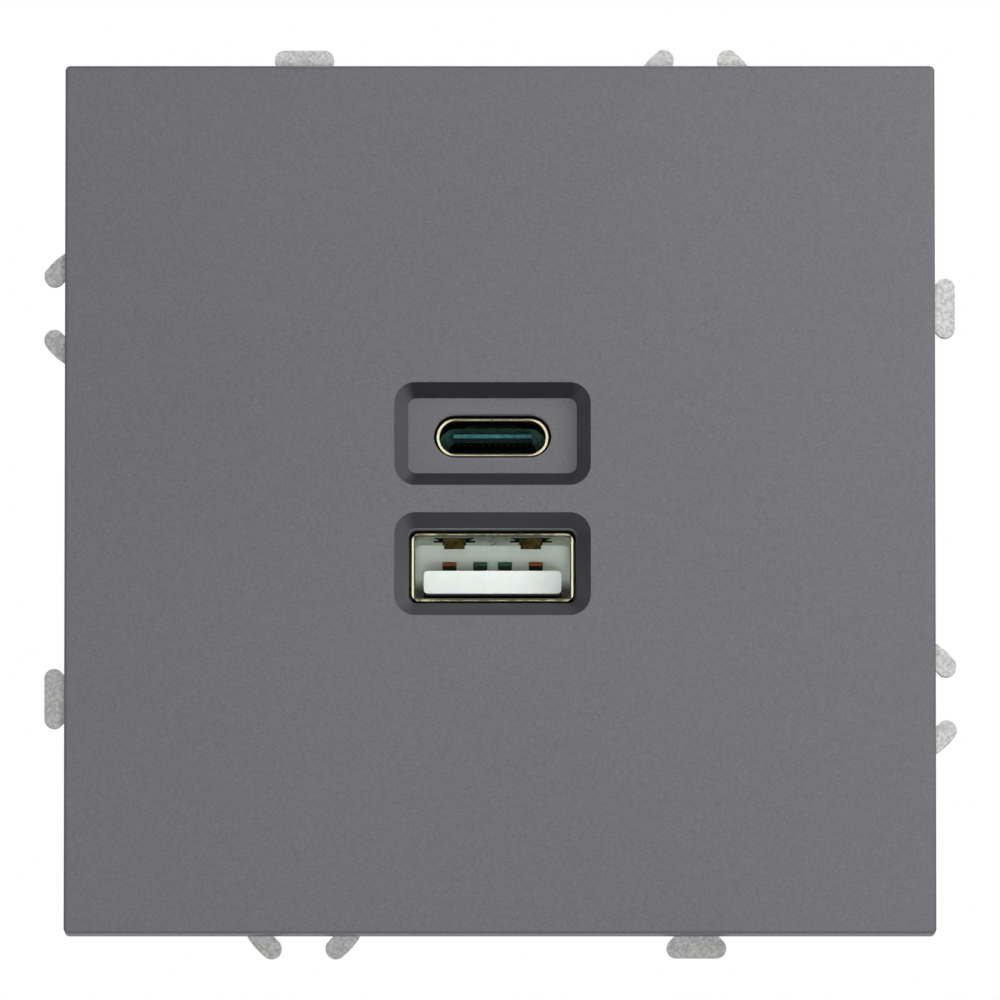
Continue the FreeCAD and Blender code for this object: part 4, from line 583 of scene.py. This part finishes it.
def makeBoard(look):
    material, tree, place = newMaterial("solderResist")
    waveLength = math.pi / 10  # a wave texture repeats every so much at a scale of 1
    scale = waveLength / (look["weaveMm"] * mm)
    threads = {"Vector": place, "Scale": scale, "Distortion": look["waver"]}
    across = addNode(tree, "ShaderNodeTexWave", threads, bands_direction="X").outputs["Fac"]
    along = addNode(tree, "ShaderNodeTexWave", threads, bands_direction="Z").outputs["Fac"]
    weave = addNode(tree, "ShaderNodeMath", {0: across, 1: along}, operation="MULTIPLY")
    colour = addNode(tree, "ShaderNodeMix", {0: weave, 6: look["resist"], 7: look["weave"]},
                     data_type="RGBA").outputs[2]
    shader = addNode(tree, "ShaderNodeBsdfPrincipled",
                     {"Base Color": colour, "Roughness": look["roughness"], "Coat Weight": look["gloss"]})
    addNode(tree, "ShaderNodeOutputMaterial", {0: shader})
    return material


finishes = {name: makePlastic(name, look, plasticMaking) for name, look in plasticLooks.items()}
finishes.update({name: makeMetal(name, look, metalMaking) for name, look in metalLooks.items()})
finishes["sprayedAbs"] = makeCoverPaint(coverLook)
finishes["dullZincPlate"] = makePlatedSteel(frameLook)
finishes["foldedNickelSteel"] = makeShell("foldedNickelSteel", foldedLook, "usb_a_shell")
finishes["drawnNickelSteel"] = makeShell("drawnNickelSteel", drawnLook, "usb_c_shell")
finishes["whitePbt"] = makeInsulator("whitePbt", pbtLook, "usb_a_insulator")
finishes["blackLcp"] = makeInsulator("blackLcp", lcpLook, "usb_c_insulator")
finishes["copperAlloyStrip"] = makeContactStrip(contactLook)
finishes["solderResist"] = makeBoard(boardLook)

finishedPieces = {
    "sprayedAbs": ["cover_plate"],
    "dullZincPlate": ["mounting_frame"],
    "caseNylon": ["front_housing", "rear_housing"],
    "foldedNickelSteel": ["usb_a_shell"],
    "drawnNickelSteel": ["usb_c_shell"],
    "whitePbt": ["usb_a_insulator"],
    "blackLcp": ["usb_c_insulator"],
    "copperAlloyStrip": ["usb_a_contacts"],
    "goldFlashPaintedShade": ["usb_c_contacts"],
    "goldFlashedBrass": ["link_pins"],
    "stampedBrass": ["live_bar", "neutral_bar"],
    "zincPlatedScrewSteel": ["claw_pins", "housing_screws", "left_claw_screw", "right_claw_screw",
                             "live_screw", "neutral_screw"],
    "zincPlatedCageSteel": ["left_claw", "right_claw", "live_cage", "neutral_cage"],
    "drawnAluminium": ["frame_rivets"],
    "solderResist": ["port_board", "power_board"],
    "spacerNylon": ["board_spacers"],
    "ferrite": ["transformer_core", "choke"],
    "windingTape": ["transformer_winding"],
    "capacitorSleeve": ["mains_capacitor", "output_capacitors"],
    "capacitorEpoxyBox": ["suppression_capacitor"],
    "fusePhenolic": ["fuse"],
    "chipEpoxy": ["bridge_rectifier", "control_chips"],
}
for finish, pieces in finishedPieces.items():
    for piece in pieces:
        nodes[piece].data.materials.clear()
        nodes[piece].data.materials.append(finishes[finish])
print("materials", len(finishes))


# Floor of matt paper, nearly white, far below the socket, which is held on a wall; it keeps the soft shadow
# and shows pale to the camera and in reflections. It is clear from underneath, so that it hides nothing in a
# view from below

stageLook = {
    "floor": "#F4F4F3",
    "fibreMm": 8.0,
    "fibreTone": [0.98, 1.0],
    "roughness": 0.9,
    "glow": 0.9,
    "drop": 0.55,  # metres, as is the side
    "side": 6.0,
}


# One for what the camera sees, straight or in metal and glass, and nought for the light that the room gives
def seenDirectly(tree):
    rays = addNode(tree, "ShaderNodeLightPath").outputs
    shiny = addNode(tree, "ShaderNodeMath", {0: rays["Is Glossy Ray"], 1: rays["Is Transmission Ray"]},
                    operation="MAXIMUM")
    return addNode(tree, "ShaderNodeMath", {0: rays["Is Camera Ray"], 1: shiny}, operation="MAXIMUM")


def makeFloor(look):
    half = look["side"] / 2
    corners = [(-half, -half), (half, -half), (half, half), (-half, half)]
    mesh = bpy.data.meshes.new("floor")
    mesh.from_pydata([(x, y, -look["drop"]) for x, y in corners], [], [(0, 1, 2, 3)])
    floor = bpy.data.objects.new("floor", mesh)
    bpy.context.scene.collection.objects.link(floor)
    material, tree, place = newMaterial("matPaperFloor")
    toneLow, toneHigh = look["fibreTone"]
    fibre = addNode(tree, "ShaderNodeTexNoise",
                    {"Vector": place, "Scale": perMm(look["fibreMm"]), "Detail": 2.0})
    tone = addNode(tree, "ShaderNodeMapRange", {0: fibre, 3: toneLow, 4: toneHigh})
    colour = addNode(tree, "ShaderNodeVectorMath", {0: hexToLinear(look["floor"])[:3], "Scale": tone},
                     operation="SCALE")
    glow = addNode(tree, "ShaderNodeMath", {0: seenDirectly(tree), 1: look["glow"]}, operation="MULTIPLY")
    shader = addNode(tree, "ShaderNodeBsdfPrincipled",
                     {"Base Color": colour, "Roughness": look["roughness"], "Emission Color": colour,
                      "Emission Strength": glow})
    underneath = addNode(tree, "ShaderNodeNewGeometry").outputs["Backfacing"]
    clear = addNode(tree, "ShaderNodeBsdfTransparent")
    oneSided = addNode(tree, "ShaderNodeMixShader", {0: underneath, 1: shader, 2: clear})
    addNode(tree, "ShaderNodeOutputMaterial", {0: oneSided})
    mesh.materials.append(material)


makeFloor(stageLook)

# Light: a pale room, a soft lamp beside the camera that shines into the ports, a key from the upper right, a
# wide fill from the left and a back lamp for the case. Spots and sides are in metres, power is in watts

lightLook = {
    "room": 0.06,
    "background": 1.0,
    "lamps": {
        "front": {"spot": (0.02, -1.3, -0.19), "side": 0.22, "power": 5.9},
        "key": {"spot": (0.16, -0.17, 0.085), "side": 0.1, "power": 0.33},
        "fill": {"spot": (-0.9, -0.8, 0.3), "side": 0.8, "power": 2.6},
        "back": {"spot": (0.3, 0.9, 0.6), "side": 0.8, "power": 9.0},
    },
}


def makeWorld(look):
    world = bpy.data.worlds.new("paleRoom")
    bpy.context.scene.world = world
    world.use_nodes = True
    tree = world.node_tree
    tree.nodes.clear()
    strength = addNode(tree, "ShaderNodeMapRange",
                       {0: seenDirectly(tree), 3: look["room"], 4: look["background"]})
    background = addNode(tree, "ShaderNodeBackground", {"Color": "#FFFFFF", "Strength": strength})
    addNode(tree, "ShaderNodeOutputWorld", {0: background})


def makeLamps(look):
    for name, lamp in look["lamps"].items():
        data = bpy.data.lights.new(name, "AREA")
        data.shape = "SQUARE"
        data.size = lamp["side"]
        data.energy = lamp["power"]
        light = bpy.data.objects.new(name, data)
        light.location = lamp["spot"]
        light.rotation_euler = (-Vector(lamp["spot"])).to_track_quat("-Z", "Y").to_euler()
        light.visible_camera = False
        bpy.context.scene.collection.objects.link(light)


makeWorld(lightLook)
makeLamps(lightLook)
print("floor and lamps")

# Camera: in line with the socket, 5 degrees below it, through a long lens; distances are in metres

cameraLook = {
    "distance": 1.3,
    "elevation": -5.0,
    "pixelsPerMetre": 12445.0,
    "pictureWidth": 1000,
    "sensorMm": 36.0,
    "aim": (0.0, -0.0055, -0.00012),
    "nearest": 0.05,
    "farthest": 20.0,
}


def makeCamera(look):
    data = bpy.data.cameras.new("camera")
    data.sensor_width = look["sensorMm"]
    data.lens = look["pixelsPerMetre"] / look["pictureWidth"] * look["sensorMm"] * look["distance"]
    data.clip_start = look["nearest"]
    data.clip_end = look["farthest"]
    camera = bpy.data.objects.new("camera", data)
    rise = math.radians(look["elevation"])
    back = Vector((0, -math.cos(rise), math.sin(rise)))
    camera.location = Vector(look["aim"]) + back * look["distance"]
    camera.rotation_euler = (-back).to_track_quat("-Z", "Y").to_euler()
    bpy.context.scene.collection.objects.link(camera)
    bpy.context.scene.camera = camera


makeCamera(cameraLook)
bpy.context.scene.view_settings.view_transform = "Standard"

print("camera and sizes")
